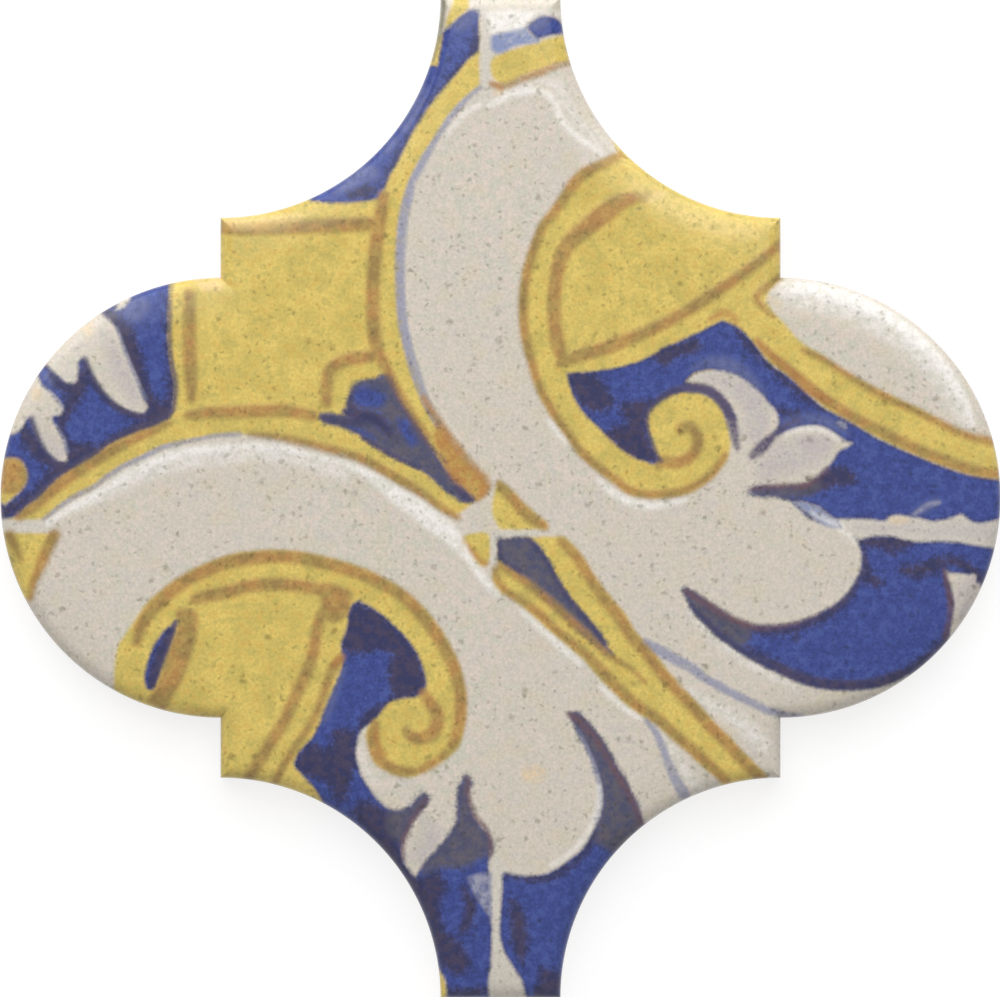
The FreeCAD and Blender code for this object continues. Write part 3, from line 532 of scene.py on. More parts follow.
        (630, 181, 8), (648, 194, 14), (669, 207, 17), (692, 217.5, 18), (715, 225.5, 17),
        (739, 231, 14), (760, 234, 8),
    ]),
    ("straw_highlight", "line", [(226, 225, 5), (245, 225, 8), (270, 224, 8), (295, 220, 6), (315, 213, 4)]),
    # Painted shade: a dark olive line down the upper neck's left edge, where the rounded edge turns from
    # the light
    ("olive_edge_shade", "line", [(444, -6, 6), (443.5, 8, 6), (441, 28, 5), (437.5, 45, 4), (433, 62, 3)]),
    # Dark strokes and edges over the blue
    ("navy", "line", [(322, 417, 5), (334, 419, 7), (346, 422, 8), (358, 420, 9)]),
    ("navy", "line", [(352, 392, 4), (351, 404, 6), (358, 414, 8), (360, 424, 6)]),
    ("maroon", "line", [
        (388, 376, 3), (396, 391, 4), (405, 408, 4), (417, 426, 4), (431, 446, 4), (446, 463, 3),
    ]),
    ("navy", "line", [(364, 438, 4), (380, 448, 5), (396, 457, 4), (420, 468, 4)]),
    ("navy", "line", [(456, 488, 5), (464, 494, 8), (472, 500, 6)]),
    ("navy", "line", [
        (530, 540, 4), (545, 559, 4), (557, 581, 5), (571, 601, 5), (588, 621, 5), (604, 642, 5),
    ]),
    ("navy", "line", [(499, 545, 4), (503, 560, 4), (520, 571, 4)]),
    ("navy", "line", [(176, 622, 5), (171, 638, 6), (164, 655, 7), (158, 671, 7), (152, 686, 6)]),
    ("navy", "line", [
        (646, 424, 4), (648, 412, 6), (656, 402, 7), (666, 395, 8), (677, 390, 8), (690, 388, 6),
    ]),
    ("violet", "line", [
        (686, 388, 8), (697, 388, 10), (709, 391, 11), (719, 399, 11), (727, 410, 11), (732, 424, 10),
        (735, 438, 8), (737, 448, 5),
    ]),
    ("violet", "line", [
        (798, 420, 3), (786, 426, 4), (776, 433, 6), (768, 441, 10), (760, 449, 12), (752, 456, 7),
    ]),
    ("navy", "line", [(646.6, 420, 4), (648.4, 432, 4), (652.5, 444, 4), (657, 455, 5), (661, 461, 4)]),
    ("navy", "line", [
        (864, 552, 3), (865, 562, 5), (860, 577, 5), (851, 592, 6), (838, 605, 6), (821, 615, 6),
        (800, 624, 6), (780, 628, 6), (764, 629, 6),
    ]),
    ("maroon", "line", [
        (820, 613, 2), (800, 622, 4), (780, 626, 5), (760, 627, 6), (735, 620, 7), (716, 610, 7),
        (701, 600, 7), (686, 591, 5),
    ]),
    ("maroon", "line", [
        (750, 489, 3), (768, 487, 5), (786, 486, 6), (803, 486, 7), (815, 480, 6), (827, 469, 5),
    ]),
    ("navy", "line", [
        (690, 604, 4), (705, 620, 6), (722, 636, 6), (738, 648, 6), (754, 658, 7), (775, 667, 9),
        (798, 677, 10), (821, 683, 10), (844, 685, 10), (867, 684, 10), (900, 675, 9),
    ]),
    ("maroon", "line", [(944, 570, 4), (947, 586, 5), (950, 601, 6), (949, 617, 5), (945, 636, 5)]),
    ("navy", "line", [
        (85, 359, 6), (90, 372, 7), (97, 385, 7), (107, 398, 7), (120, 409, 7), (134, 415, 6),
        (146, 416, 6), (151, 410, 5),
    ]),
    ("navy", "line", [
        (32, 418, 5), (36, 431, 6), (42, 445, 6), (51, 458, 6), (61, 465, 6), (69, 464, 5),
    ]),
    ("navy", "line", [(47, 367, 4), (57, 378, 5), (66, 385, 5), (75, 386, 4)]),
    ("navy", "line", [
        (171, 282, 3), (170.5, 316, 4), (170.5, 346, 4), (173, 366, 5), (176, 382, 5), (175.5, 398, 5),
        (172, 413, 5), (160, 421, 5), (130, 432, 5), (113, 440, 4), (95, 453, 4), (76.5, 464, 4),
        (58, 476, 4), (38, 495, 4), (22, 508, 4),
    ]),
    ("maroon", "line", [
        (569, 714, 6), (580, 721, 7), (590, 732, 7), (600, 745, 7), (609, 760, 6), (618, 776, 6),
        (627, 791, 6), (635, 808, 5), (643, 828, 4),
    ]),
    ("maroon", "line", [
        (468, 778, 4), (469, 798, 5), (475, 815, 5), (487, 830, 5), (491, 843, 5), (490, 856, 4),
    ]),
    ("maroon", "line", [(427, 799, 4), (418, 811, 5), (409, 826, 5), (403, 842, 5), (404, 858, 3)]),
    # White glaze along the pattern, partly painted highlights; the patch at the top of the neck and the
    # line along the upper right lobe are painted highlights of the rounded edge
    ("white", "line", [
        (336, 461, 4), (350, 466, 7), (366, 474, 9), (385, 486, 13), (400, 498, 17), (415, 507, 20),
        (430, 519, 21), (446, 531, 19), (458, 544, 14), (468, 557, 9), (483, 579, 8), (496, 593, 7),
    ]),
    ("white", "line", [
        (48, 524, 5), (66, 512, 7), (92, 498, 8), (107, 489, 8), (138, 471, 9), (168, 458, 9),
        (199, 451, 8), (226, 448, 7), (256, 447, 6), (287, 450, 5), (310, 456, 5), (336, 462, 4),
    ]),
    ("white", "line", [(446, 138, 2), (456, 124, 3), (468, 112, 4), (480, 106, 4)]),
    ("white", "line", [
        (490, 106, 5), (500, 101, 6), (515, 95, 6), (532, 92, 6), (547, 95, 6), (556, 107, 6),
        (561, 120, 6), (570, 131, 6), (585, 143, 6), (602, 154, 4),
    ]),
    # Painted highlight: the top of the upper neck's rounded edge
    ("white", "area", [
        (484, 13, K), (500, 11), (530, 11), (560, 12, K), (562, 18, K), (548, 14), (532, 19), (522, 29),
        (506, 32), (491, 35, K), (489, 24),
    ]),
    # Painted highlight: the upper right lobe's rounded edge
    ("white", "line", [
        (790, 291, 4), (799, 291, 8), (834, 297, 13), (868, 309, 14), (900, 327, 13), (928, 351, 11),
        (951, 379, 9), (966, 406, 7), (973, 424, 4),
    ]),
    ("white", "line", [
        (598, 480, 3), (610, 491, 6), (625, 500, 8), (645, 506, 8), (665, 505, 6), (685, 500, 3),
    ]),
    ("white", "line", [(549, 421, 3), (556, 432, 5), (566, 443, 3)]),
    ("white", "line", [(522, 611, 3), (536, 625, 5), (553, 640, 6), (566, 652, 6), (580, 664, 4)]),
    ("white", "line", [(600, 686, 3), (611, 697, 5), (624, 708, 5), (640, 719, 3)]),
    ("white", "line", [(786, 434, 3), (798, 430.5, 4), (812, 429, 4), (824, 431, 3), (838, 440, 3)]),
    ("white", "line", [(838, 529, 3), (848, 535, 4), (855, 543, 3)]),
    ("white", "line", [(812, 513, 2), (822, 518, 3), (833, 523, 5), (842, 526, 3)]),
    ("white", "line", [
        (599, 786, 3), (598.5, 804, 4), (594, 819, 4), (584, 838, 4), (570, 853, 4), (552, 865, 3),
    ]),
]

# Where the cobalt was laid on thickly and fired almost black
THICK_COBALT = [
    # Left lobe
    ("line", [
        (110, 316, 10), (123, 334, 22), (132, 356, 20), (140, 380, 17), (148, 398, 15), (155, 412, 22),
    ]),
    ("line", [(168, 300, 4), (168, 340, 5), (171, 375, 6), (171, 400, 10), (162, 414, 20)]),
    ("line", [
        (165, 416, 16), (150, 425, 20), (130, 432, 11), (112, 442, 7), (97, 450, 12), (82, 453, 20),
        (68, 463, 20), (52, 474, 12), (38, 492, 8),
    ]),
    ("line", [(52, 376, 7), (66, 388, 12), (80, 384, 18), (84, 368, 8)]),
    ("line", [(76, 390, 20), (70, 406, 13), (63, 420, 12), (62, 430, 8), (68, 443, 10), (84, 450, 12)]),
    ("line", [(88, 362, 6), (96, 382, 9), (108, 396, 9), (122, 408, 8), (140, 416, 8)]),
    ("line", [(24, 428, 10), (31, 442, 16), (42, 456, 14), (58, 466, 9)]),
    ("line", [(4, 512, 16), (20, 503, 12), (34, 493, 8)]),
    # Upper neck
    ("line", [
        (476, 34, 5), (477, 46, 9), (466, 62, 5), (452, 78, 7), (438, 94, 5), (424, 114, 5),
        (412, 133, 5), (402, 152, 6), (392, 170, 7), (384, 186, 6),
    ]),
    ("line", [(350, 196, 5), (362, 193, 13), (373, 190, 8)]),
    # Beside the crossing
    ("line", [(344, 412, 10), (360, 416, 16), (376, 420, 16), (392, 434, 12)]),
    # Right side, over the scroll's ring
    ("area", [
        (567, 372, K), (586, 371), (599, 377), (609, 391), (615, 401), (606, 411), (592, 412),
        (579, 404), (571, 391),
    ]),
    ("area", [
        (618, 406), (634, 401), (652, 399, K), (647, 418), (648, 432), (655, 450), (662, 460, K),
        (645, 464), (628, 458), (613, 447), (602, 435), (612, 427), (626, 424),
    ]),
    ("area", [
        (650, 351), (664, 346), (681, 341), (698, 338), (702, 348), (692, 355), (678, 358), (664, 367),
        (656, 362),
    ]),
    ("line", [
        (734, 328, 5), (750, 346, 9), (766, 361, 9), (785, 380, 8), (806, 398, 7), (826, 411, 5),
    ]),
    ("line", [(776, 408, 6), (786, 413, 7), (798, 412, 4)]),
    ("line", [(806, 490, 10), (822, 484, 16), (838, 476, 20), (850, 478, 14)]),
    # Right lobe
    ("line", [(860, 542, 9), (876, 542, 14), (894, 543, 17), (911, 541, 10)]),
    ("line", [(880, 543, 8), (892, 553, 7)]),
    ("line", [
        (902, 570, 9), (916, 571, 14), (932, 566, 14), (945, 560, 11), (958, 562, 10), (972, 571, 12),
        (984, 584, 10),
    ]),
    ("line", [(862, 550, 5), (866, 566, 7), (868, 578, 13), (878, 582, 10)]),
    ("line", [
        (696, 606, 4), (722, 617, 9), (748, 628, 10), (772, 631, 8), (800, 627, 7), (822, 618, 7),
        (840, 606, 6), (853, 590, 5),
    ]),
    ("line", [
        (748, 648, 5), (775, 664, 8), (798, 676, 9), (822, 683, 9), (848, 685, 9), (872, 684, 9),
        (905, 672, 10), (930, 655, 8), (955, 625, 6),
    ]),
    ("line", [(944, 574, 5), (949, 590, 6), (951, 606, 5)]),
    ("line", [(794, 632, 6), (797, 640, 6)]),
    ("line", [(175, 624, 8), (167, 642, 13), (159, 662, 14), (153, 682, 11)]),
    # Lower side
    ("area", [
        (356, 600, K), (378, 610), (393, 624), (408, 640), (419, 654), (426, 672), (428, 686),
        (424, 695, K), (404, 700), (393, 698), (389, 684), (387, 670), (391, 657), (378, 650),
        (362, 654), (342, 652, K), (344, 628),
    ]),
    ("line", [(412, 694, 6), (396, 700, 7), (382, 708, 9), (370, 718, 15), (362, 728, 8)]),
    ("area", [
        (294, 762, K), (304, 748), (315, 742), (325, 748), (333, 740), (332, 731), (344, 728),
        (356, 732), (358, 748), (357, 764), (350, 784), (346, 800), (337, 800), (330, 786), (316, 778),
        (303, 776),
    ]),
    ("area", [
        (350, 812, K), (362, 800), (376, 802), (390, 812), (402, 812), (398, 830), (401, 850),
        (408, 866), (420, 878, K), (440, 872), (446, 884), (440, 905), (446, 930), (462, 944),
        (470, 962), (460, 975), (446, 968), (434, 950), (424, 915), (400, 880), (376, 845),
    ]),
    ("line", [(464, 888, 6), (470, 902, 12), (470, 916, 12), (462, 930, 8)]),
    ("line", [(440, 990, 8), (462, 993, 9), (484, 990, 8)]),
    ("line", [(512, 900, 6), (517, 915, 16), (519, 932, 18), (521, 950, 13), (522, 960, 6)]),
    ("line", [(545, 972, 12), (552, 982, 22), (545, 995, 26)]),
    ("line", [
        (508, 874, 6), (530, 878, 8), (552, 876, 8), (570, 866, 6), (584, 852, 7), (598, 836, 10),
        (612, 838, 16), (626, 842, 8),
    ]),
]


def quarter(inset):
    """A quarter of the outline at an inset, from the middle of the upper neck to the end of the lobe."""
    hollow, lobe = ROUND + inset, ROUND - inset
    trim = math.asin(inset / hollow)
    turn = math.asin(inset / lobe)
    neck_x = HALF_BODY - hollow * math.cos(trim)
    shoulder_top = REACH - hollow * math.cos(trim)
    shoulder_foot = lobe * math.cos(turn)

    def spaced(length):
        return np.linspace(0, 1, max(2, round(length / OUTLINE_STEP)), endpoint=False)[:, None]

    neck = spaced(HALF_BODY - ROUND) * [[neck_x, 0]] + [[0, REACH - inset]]
    angle = math.pi + trim + spaced(ROUND * math.pi / 2) * (math.pi / 2 - 2 * trim)
    curve = np.hstack([HALF_BODY + hollow * np.cos(angle), REACH + hollow * np.sin(angle)])
    shoulder = spaced(HALF_BODY - ROUND) * [[0, shoulder_foot - shoulder_top]]
    shoulder = shoulder + [[HALF_BODY - inset, shoulder_top]]
    angle = math.pi / 2 + turn - spaced(ROUND * math.pi / 2) * (math.pi / 2 + turn)
    bulge = np.hstack([HALF_BODY + lobe * np.cos(angle), lobe * np.sin(angle)])
    return np.vstack([neck, curve, shoulder, bulge, [[REACH - inset, 0]]])


def plan_ring(inset):
    """The whole outline at an inset, anticlockwise, with the same count of points at every inset."""
    q = quarter(inset)
    clockwise = [q[:-1], (q * [1, -1])[:0:-1], (q * [-1, -1])[:-1], (q * [-1, 1])[:0:-1]]
    return np.vstack(clockwise)[::-1]


def plan_inset(spots):
    """How far inside the outline each spot lies."""
    x, y = np.abs(spots).T
    body = np.minimum(HALF_BODY - x, REACH - y)
    body = np.minimum(body, np.hypot(x - HALF_BODY, y - REACH) - ROUND)
    return np.maximum(body, ROUND - np.hypot(x - HALF_BODY, y))


def nearer(a, b):
    """The smaller of two distances, eased over the crown's softness where they are alike."""
    ease = np.maximum(CROWN_SOFTNESS - np.abs(a - b), 0) / CROWN_SOFTNESS
    return np.minimum(a, b) - ease**2 * CROWN_SOFTNESS / 4


def crown_inset(spots):
    """How far inside the outline each spot lies, eased where two sides meet."""
    x, y = np.abs(spots).T
    body = nearer(nearer(HALF_BODY - x, REACH - y), np.hypot(x - HALF_BODY, y - REACH) - ROUND)
    return -nearer(-body, np.hypot(x - HALF_BODY, y) - ROUND)


def lattice(step):
    """Evenly spaced spots in rows that stand in each other's gaps."""
    row_step = step * math.sqrt(3) / 2
    rows = []
    for i in range(-int(REACH / row_step), int(REACH / row_step) + 1):
        across = np.arange(-REACH, REACH, step) + (i % 2) * step / 2
        rows.append(np.stack([across, np.full(len(across), i * row_step)], axis=1))
    return np.vstack(rows)


def fill(loops, spots, cuts, keep):
    """A flat sheet of triangles over closed loops, loose spots and straight cuts.

    It has only the triangles whose middle passes keep. Its corners and triangles come back, with
    the place of each of the loops' points among the corners.
    """
    edges, start = [], 0
    for loop in loops:
        count = len(loop)
        edges += [(start + i, start + (i + 1) % count) for i in range(count)]
        start += count
    loop_points = range(start)
    start += len(spots)
    edges += [(start + 2 * i, start + 2 * i + 1) for i in range(len(cuts))]
    given = [Vector(spot) for spot in np.vstack([*loops, spots, *cuts]) * MM_PER_METRE]
    found, _, faces, sources, _, _ = delaunay_2d_cdt(given, edges, [], 0, SAME_SPOT_MM)
    corners = np.array([corner[:] for corner in found]) / MM_PER_METRE
    triangles = np.array(faces)
    triangles = triangles[keep(corners[triangles].mean(axis=1))]
    place = {source: i for i, group in enumerate(sources) for source in group}
    return corners, triangles, np.array([place[i] for i in loop_points])


def in_key_cell(spots):
    """True where the back is recessed: inside the rim and between the ribs."""
    off_rib = np.abs((spots + RIB_PITCH / 2) % RIB_PITCH - RIB_PITCH / 2) > RIB / 2
    return (plan_inset(spots) > RIM) & off_rib.all(axis=1)


def rib_edges():
    """The ribs' straight sides, each from a little outside the key pattern to a little outside it."""
    edges = []
    along = np.arange(-REACH, REACH, RIB / 10)
    outermost = int(REACH / RIB_PITCH)
    into_rim = RIM * 0.9
    for middle in np.arange(-outermost, outermost + 1) * RIB_PITCH:
        for side in (middle - RIB / 2, middle + RIB / 2):
            for turn in (1, -1):
                run = np.column_stack([along, np.full(len(along), side)])[:, ::turn]
                inside = np.concatenate([[False], plan_inset(run) > into_rim, [False]])
                ends = np.flatnonzero(np.diff(inside.astype(int)))
                edges += [run[[a, b - 1]] for a, b in ends.reshape(-1, 2)]
    return edges


def eased(share):
    """A share from 0 to 1 with a soft start and a soft end."""
    return share * share * (3 - 2 * share)


def smooth_run(points):
    """A smooth open line through points, whose columns past the second go along."""
    p = np.array(points, float)
    gap = np.maximum(np.linalg.norm(np.diff(p[:, :2], axis=0), axis=1), 1e-6)
    t = np.concatenate([[0], np.cumsum(gap)])
    if len(p) == 2:
        return p
    slope = np.gradient(p, t, axis=0)
    parts = []
    for i in range(len(p) - 1):
        u = np.linspace(0, 1, math.ceil(gap[i] / CURVE_STEP) + 1, endpoint=False)[:, None]
        parts.append(
            p[i] * (1 - eased(u))
            + p[i + 1] * eased(u)
            + gap[i] * (slope[i] * u * (1 - u) ** 2 - slope[i + 1] * u * u * (1 - u))
        )
    return np.vstack([*parts, p[-1:]])


def smooth_loop(points):
    """A closed line through points, smooth except at those marked as corners."""
    corners = [i for i, p in enumerate(points) if len(p) > 2]
    flat = [p[:2] for p in points]
    if not corners:
        wrapped = smooth_run(flat[-3:] + flat + flat[:4])
        first = np.abs(wrapped - flat[0]).sum(axis=1).argmin()
        last = len(wrapped) - 1 - np.abs(wrapped[::-1] - flat[0]).sum(axis=1).argmin()
        return wrapped[first : last + 1]
    flat = flat[corners[0] :] + flat[: corners[0] + 1]
    stops = [i - corners[0] for i in corners] + [len(flat) - 1]
    return np.vstack([smooth_run(flat[a : b + 1]) for a, b in zip(stops, stops[1:])])


def from_stencil(line):
    """Metres on the tile's face for a line on the stencil. Widths become half widths."""
    out = np.array(line, float)
    out[:, 0] = (out[:, 0] - STENCIL_CENTRE[0]) * STENCIL_STEP
    out[:, 1] = (STENCIL_CENTRE[1] - out[:, 1]) * STENCIL_STEP
    if out.shape[1] > 2:
        out[:, 2] *= STENCIL_STEP / 2
    return out


def signed_distance(spots, form, points):
    """Millimetres from each spot to a painted form, negative inside it."""
    line = from_stencil(smooth_loop(points) if form == "area" else smooth_run(points))
    start, step = line[:-1], np.diff(line, axis=0)
    length = np.maximum((step[:, :2] ** 2).sum(axis=1), 1e-18)
    out = np.full(len(spots), FAR_MM)
    margin = FAR_MM / MM_PER_METRE
    low, high = line[:, :2].min(axis=0) - margin, line[:, :2].max(axis=0) + margin
    near = np.flatnonzero(((spots > low) & (spots < high)).all(axis=1))
    for some in np.array_split(near, len(near) // SPOTS_AT_ONCE + 1):
        away = spots[some][:, None, :] - start[None, :, :2]
        share = np.clip((away * step[None, :, :2]).sum(axis=2) / length, 0, 1)
        gap = np.hypot(*np.moveaxis(away - share[..., None] * step[None, :, :2], 2, 0))
        if form == "line":
            out[some] = (gap - start[:, 2] - share * step[:, 2]).min(axis=1) * MM_PER_METRE
            continue
        y = spots[some][:, 1:2]
        crosses = (line[:-1, 1] > y) != (line[1:, 1] > y)
        rise = np.where(step[:, 1] == 0, 1, step[:, 1])
        left = spots[some][:, :1] < line[:-1, 0] + (y - line[:-1, 1]) / rise * step[:, 0]
        inside = (crosses & left).sum(axis=1) % 2 == 1
        out[some] = gap.min(axis=1) * MM_PER_METRE * np.where(inside, -1, 1)
    return np.clip(out, -FAR_MM, FAR_MM)


def paint(spots):
    """For each paint, the distance in mm from each spot to where it lies, negative inside it."""
    fields = {name: np.full(len(spots), FAR_MM) for name in PAINTS}
    for name, form, points in PAINTING:
        distance = signed_distance(spots, form, points)
        above = PAINTS if name == "cream" else PAINTS[PAINTS.index(name) + 1 :]
        for other in above:
            fields[other] = np.maximum(fields[other], -distance)
        if name != "cream":
            fields[name] = np.minimum(fields[name], distance)
    for name in BLUE_TINTS:
        fields[name] = np.maximum(fields[name], fields["blue"])
    return fields


def thick_cobalt(spots):
    """The distance in mm from each spot to the thickly laid cobalt, negative inside it."""
    return np.min([signed_distance(spots, form, points) for form, points in THICK_COBALT], axis=0)


def add_attribute(mesh, name, kind, domain, values):
    """Keeps a value for each of the mesh's points or faces."""
    mesh.attributes.new(name, kind, domain).data.foreach_set("value", values)


def add_painting(mesh, spots):
    """Keeps on the mesh how far each spot lies from each paint, and where thick paint stands up."""
    fields = paint(spots)
    for name, values in fields.items():
        add_attribute(mesh, name, "FLOAT", "POINT", values)
    lines = np.min([fields[name] for name in RAISED_PAINTS], axis=0)
    rise = np.clip(0.5 - lines / LINE_SLOPE_MM, 0, 1)
    add_attribute(mesh, "rise", "FLOAT", "POINT", eased(rise))
    add_attribute(mesh, "thick_cobalt", "FLOAT", "POINT", thick_cobalt(spots))


def blank_mesh():
    """The tile as flat sheets and straight walls. The relief tree shapes it by its attributes."""
    # The inset and height of each ring of points, from the glazed face over the cushion to the back
    lean = np.linspace(math.pi / 2, 0, CUSHION_STEPS + 1)
    rings = [(CUSHION * (1 - math.cos(a)), THICKNESS) for a in lean] + [(0.0, BEVEL), (BEVEL, 0.0)]
    grid = lattice(GLAZE_STEP)
    grid = grid[plan_inset(grid) > CUSHION + GLAZE_MARGIN]
    face, face_triangles, inner_ring = fill(
        [plan_ring(CUSHION)], grid, [], lambda middles: plan_inset(middles) > CUSHION
    )
    back, back_triangles, back_rings = fill(
        [plan_ring(BEVEL), plan_ring(RIM)], np.empty((0, 2)), rib_edges(), lambda m: plan_inset(m) > BEVEL
    )
    count = len(inner_ring)
    outer_ring = back_rings[:count]

    # The first and the last ring are the edges of the face and of the back
    verts = [np.column_stack([face, np.full(len(face), THICKNESS)])]
    total = len(face)
    ring_places = [inner_ring]
    for inset, z in rings[1:-1]:
        verts.append(np.column_stack([plan_ring(inset), np.full(count, z)]))
        ring_places.append(np.arange(total, total + count))
        total += count
    verts.append(np.column_stack([back, np.zeros(len(back))]))
    ring_places.append(outer_ring + total)
    verts = np.vstack(verts)
    # The glaze's relief takes in all points before the ring on top of the bevel
    glazed = np.arange(len(verts)) < total - count

    walls = []
    for upper, lower in zip(ring_places, ring_places[1:]):
        walls.append(np.column_stack([upper, lower, np.roll(lower, -1), np.roll(upper, -1)]))
    walls = np.vstack(walls)
    faces = face_triangles.tolist() + walls.tolist() + (back_triangles[:, ::-1] + total).tolist()

    mesh = bpy.data.meshes.new("tile_blank")
    mesh.from_pydata(verts.tolist(), [], faces)
    spots = verts[:, :2]
    add_painting(mesh, spots)
    add_attribute(mesh, "inset", "FLOAT", "POINT", np.maximum(plan_inset(spots), 0))
    add_attribute(mesh, "crown_inset", "FLOAT", "POINT", np.maximum(crown_inset(spots), 0))
    add_attribute(mesh, "glazed_face", "BOOLEAN", "POINT", glazed)
    key = np.zeros(len(faces), bool)
    key[len(faces) - len(back_triangles) :] = in_key_cell(back[back_triangles].mean(axis=1))
    add_attribute(mesh, "key_cell", "BOOLEAN", "FACE", key)
    return mesh


def node(tree, kind, inputs=None, **settings):
    """A node with its settings, its inputs set to values or linked to other nodes' outputs."""
    made = tree.nodes.new(kind)
    for name, value in settings.items():
        setattr(made, name, value)
    for name, value in (inputs or {}).items():
        if isinstance(value, bpy.types.NodeSocket):
            tree.links.new(value, made.inputs[name])
        else:
            made.inputs[name].default_value = value
    return made


def math_node(tree, operation, a, b=0.0, clamp=False):
    """The result of a sum in the tree."""
    return node(tree, "ShaderNodeMath", {0: a, 1: b}, operation=operation, use_clamp=clamp).outputs[0]


def relief_tree():
    """Raises the glazed face to its cushion edge and relief, and sinks the key cells into the back."""
    tree = bpy.data.node_groups.new("Tile relief", "GeometryNodeTree")
    sockets = tree.interface
    sockets.new_socket("Geometry", in_out="INPUT", socket_type="NodeSocketGeometry")
    for name in ("Edge radius", "Crown depth", "Crown width", "Line rise", "Key depth"):
        sockets.new_socket(name, in_out="INPUT", socket_type="NodeSocketFloat")
    sockets.new_socket("Finish", in_out="INPUT", socket_type="NodeSocketMaterial")
    sockets.new_socket("Geometry", in_out="OUTPUT", socket_type="NodeSocketGeometry")
    given = tree.nodes.new("NodeGroupInput").outputs

    def attribute(name, kind="FLOAT"):
        made = node(tree, "GeometryNodeInputNamedAttribute", {"Name": name}, data_type=kind)
        return made.outputs["Attribute"]

    def worked(operation, a, b=0.0, clamp=False):
        return math_node(tree, operation, a, b, clamp)

    # The rounding's drop is that of a quarter circle
    radius = given["Edge radius"]
    inset = worked("MINIMUM", attribute("inset"), radius)
    from_axis = worked("SUBTRACT", radius, inset)
    squared = worked("SUBTRACT", worked("POWER", radius, 2.0), worked("POWER", from_axis, 2.0))
    drop = worked("SUBTRACT", worked("SQRT", worked("MAXIMUM", squared)), radius)

    # The crown and the sunk ground between raised lines both fade out over the rounding
    fade = worked("DIVIDE", inset, radius)
    level = worked("DIVIDE", attribute("crown_inset"), given["Crown width"], clamp=True)
    slope = worked("MULTIPLY", worked("POWER", worked("SUBTRACT", 1.0, level), 2.0), fade)
    crown = worked("MULTIPLY", slope, given["Crown depth"])
    sunk = worked("MULTIPLY", worked("SUBTRACT", 1.0, attribute("rise")), given["Line rise"])
    sunk = worked("ADD", worked("MULTIPLY", sunk, fade), crown)

    offset = node(tree, "ShaderNodeCombineXYZ", {"Z": worked("SUBTRACT", drop, sunk)}).outputs[0]
    glazed = attribute("glazed_face", "BOOLEAN")
    raised = node(
        tree,
        "GeometryNodeSetPosition",
        {"Geometry": given["Geometry"], "Selection": glazed, "Offset": offset},
    )
    upwards = node(tree, "ShaderNodeCombineXYZ", {"Z": given["Key depth"]}).outputs[0]
    keyed = node(
        tree,
        "GeometryNodeExtrudeMesh",
        {
            "Mesh": raised.outputs[0],
            "Selection": attribute("key_cell", "BOOLEAN"),
            "Offset": upwards,
            "Individual": False,
        },
        mode="FACES",
    )
    whole = node(tree, "GeometryNodeRealizeInstances", {"Geometry": keyed.outputs["Mesh"]}).outputs[0]
    finished = node(tree, "GeometryNodeSetMaterial", {"Geometry": whole, "Material": given["Finish"]})
    tree.links.new(finished.outputs[0], tree.nodes.new("NodeGroupOutput").inputs[0])
    return tree


def shaped_tile(finish):
    """The tile's visible body: the relief tree run over the blank and kept as a plain mesh."""
    blank = bpy.data.objects.new("tile_blank", blank_mesh())
    bpy.context.collection.objects.link(blank)
    relief = blank.modifiers.new("relief", "NODES")
    relief.node_group = relief_tree()
    values = {
        "Edge radius": CUSHION,
        "Crown depth": CROWN,
        "Crown width": CROWN_WIDTH,
        "Line rise": LINE_RISE,
        "Key depth": KEY_DEPTH,
        "Finish": finish,
    }
    for socket in relief.node_group.interface.items_tree:
        if socket.in_out == "INPUT" and socket.name in values:
            relief[socket.identifier] = values[socket.name]
    graph = bpy.context.evaluated_depsgraph_get()
    mesh = bpy.data.meshes.new_from_object(blank.evaluated_get(graph), depsgraph=graph)
    bpy.data.objects.remove(blank)
    mesh.name = "glazed_tile"
    mesh.shade_smooth()
    mesh.set_sharp_from_angle(angle=SHARP_FROM)
    tile = bpy.data.objects.new("glazed_tile", mesh)
    bpy.context.collection.objects.link(tile)
    return tile


def rgb(red, green, blue):
    """A colour given from 0 to 255 as screens show it, in the shader's linear values."""
    def linear(c):
        c /= 255
        return c / 12.92 if c <= 0.04045 else ((c + 0.055) / 1.055) ** 2.4

    return (linear(red), linear(green), linear(blue), 1.0)


def grey(level):
    """A neutral colour, in the shader's linear values."""
    return (level, level, level, 1.0)


def mix(tree, factor, a, b, blend="MIX"):
    """Two colours mixed by a factor. They are the node's inputs 6 and 7, and its output 2."""
    made = node(tree, "ShaderNodeMix", {0: factor, 6: a, 7: b}, data_type="RGBA", blend_type=blend)
    return made.outputs[2]


def noise(tree, place, per_mm, detail=2.0, roughness=0.5):
    """Noise with about so many waves per millimetre."""
    sizes = {"Scale": per_mm * MM_PER_METRE, "Detail": detail, "Roughness": roughness}
    return node(tree, "ShaderNodeTexNoise", {"Vector": place, **sizes}).outputs["Fac"]


def ramp(tree, value, low, high, to_low=0.0, to_high=1.0):
    """A soft step in value from low to high."""
    made = node(
        tree,
        "ShaderNodeMapRange",
        {"Value": value, "From Min": low, "From Max": high, "To Min": to_low, "To Max": to_high},
        interpolation_type="SMOOTHSTEP",
    )
    return made.outputs[0]


def glaze_noises(tree, place):
    """The unevenness that all paints share, from broad clouds down to fine grain."""
    return {
        "broad": noise(tree, place, per_mm=0.06, detail=3),
        "cloud": noise(tree, place, per_mm=0.25, detail=3),
        "blotch": noise(tree, place, per_mm=0.45, detail=2),
        "mottle": noise(tree, place, per_mm=0.8, detail=3, roughness=0.6),
        "tint": noise(tree, place, per_mm=0.8, detail=2),
        "grain": noise(tree, place, per_mm=1.9, detail=4, roughness=0.75),
    }


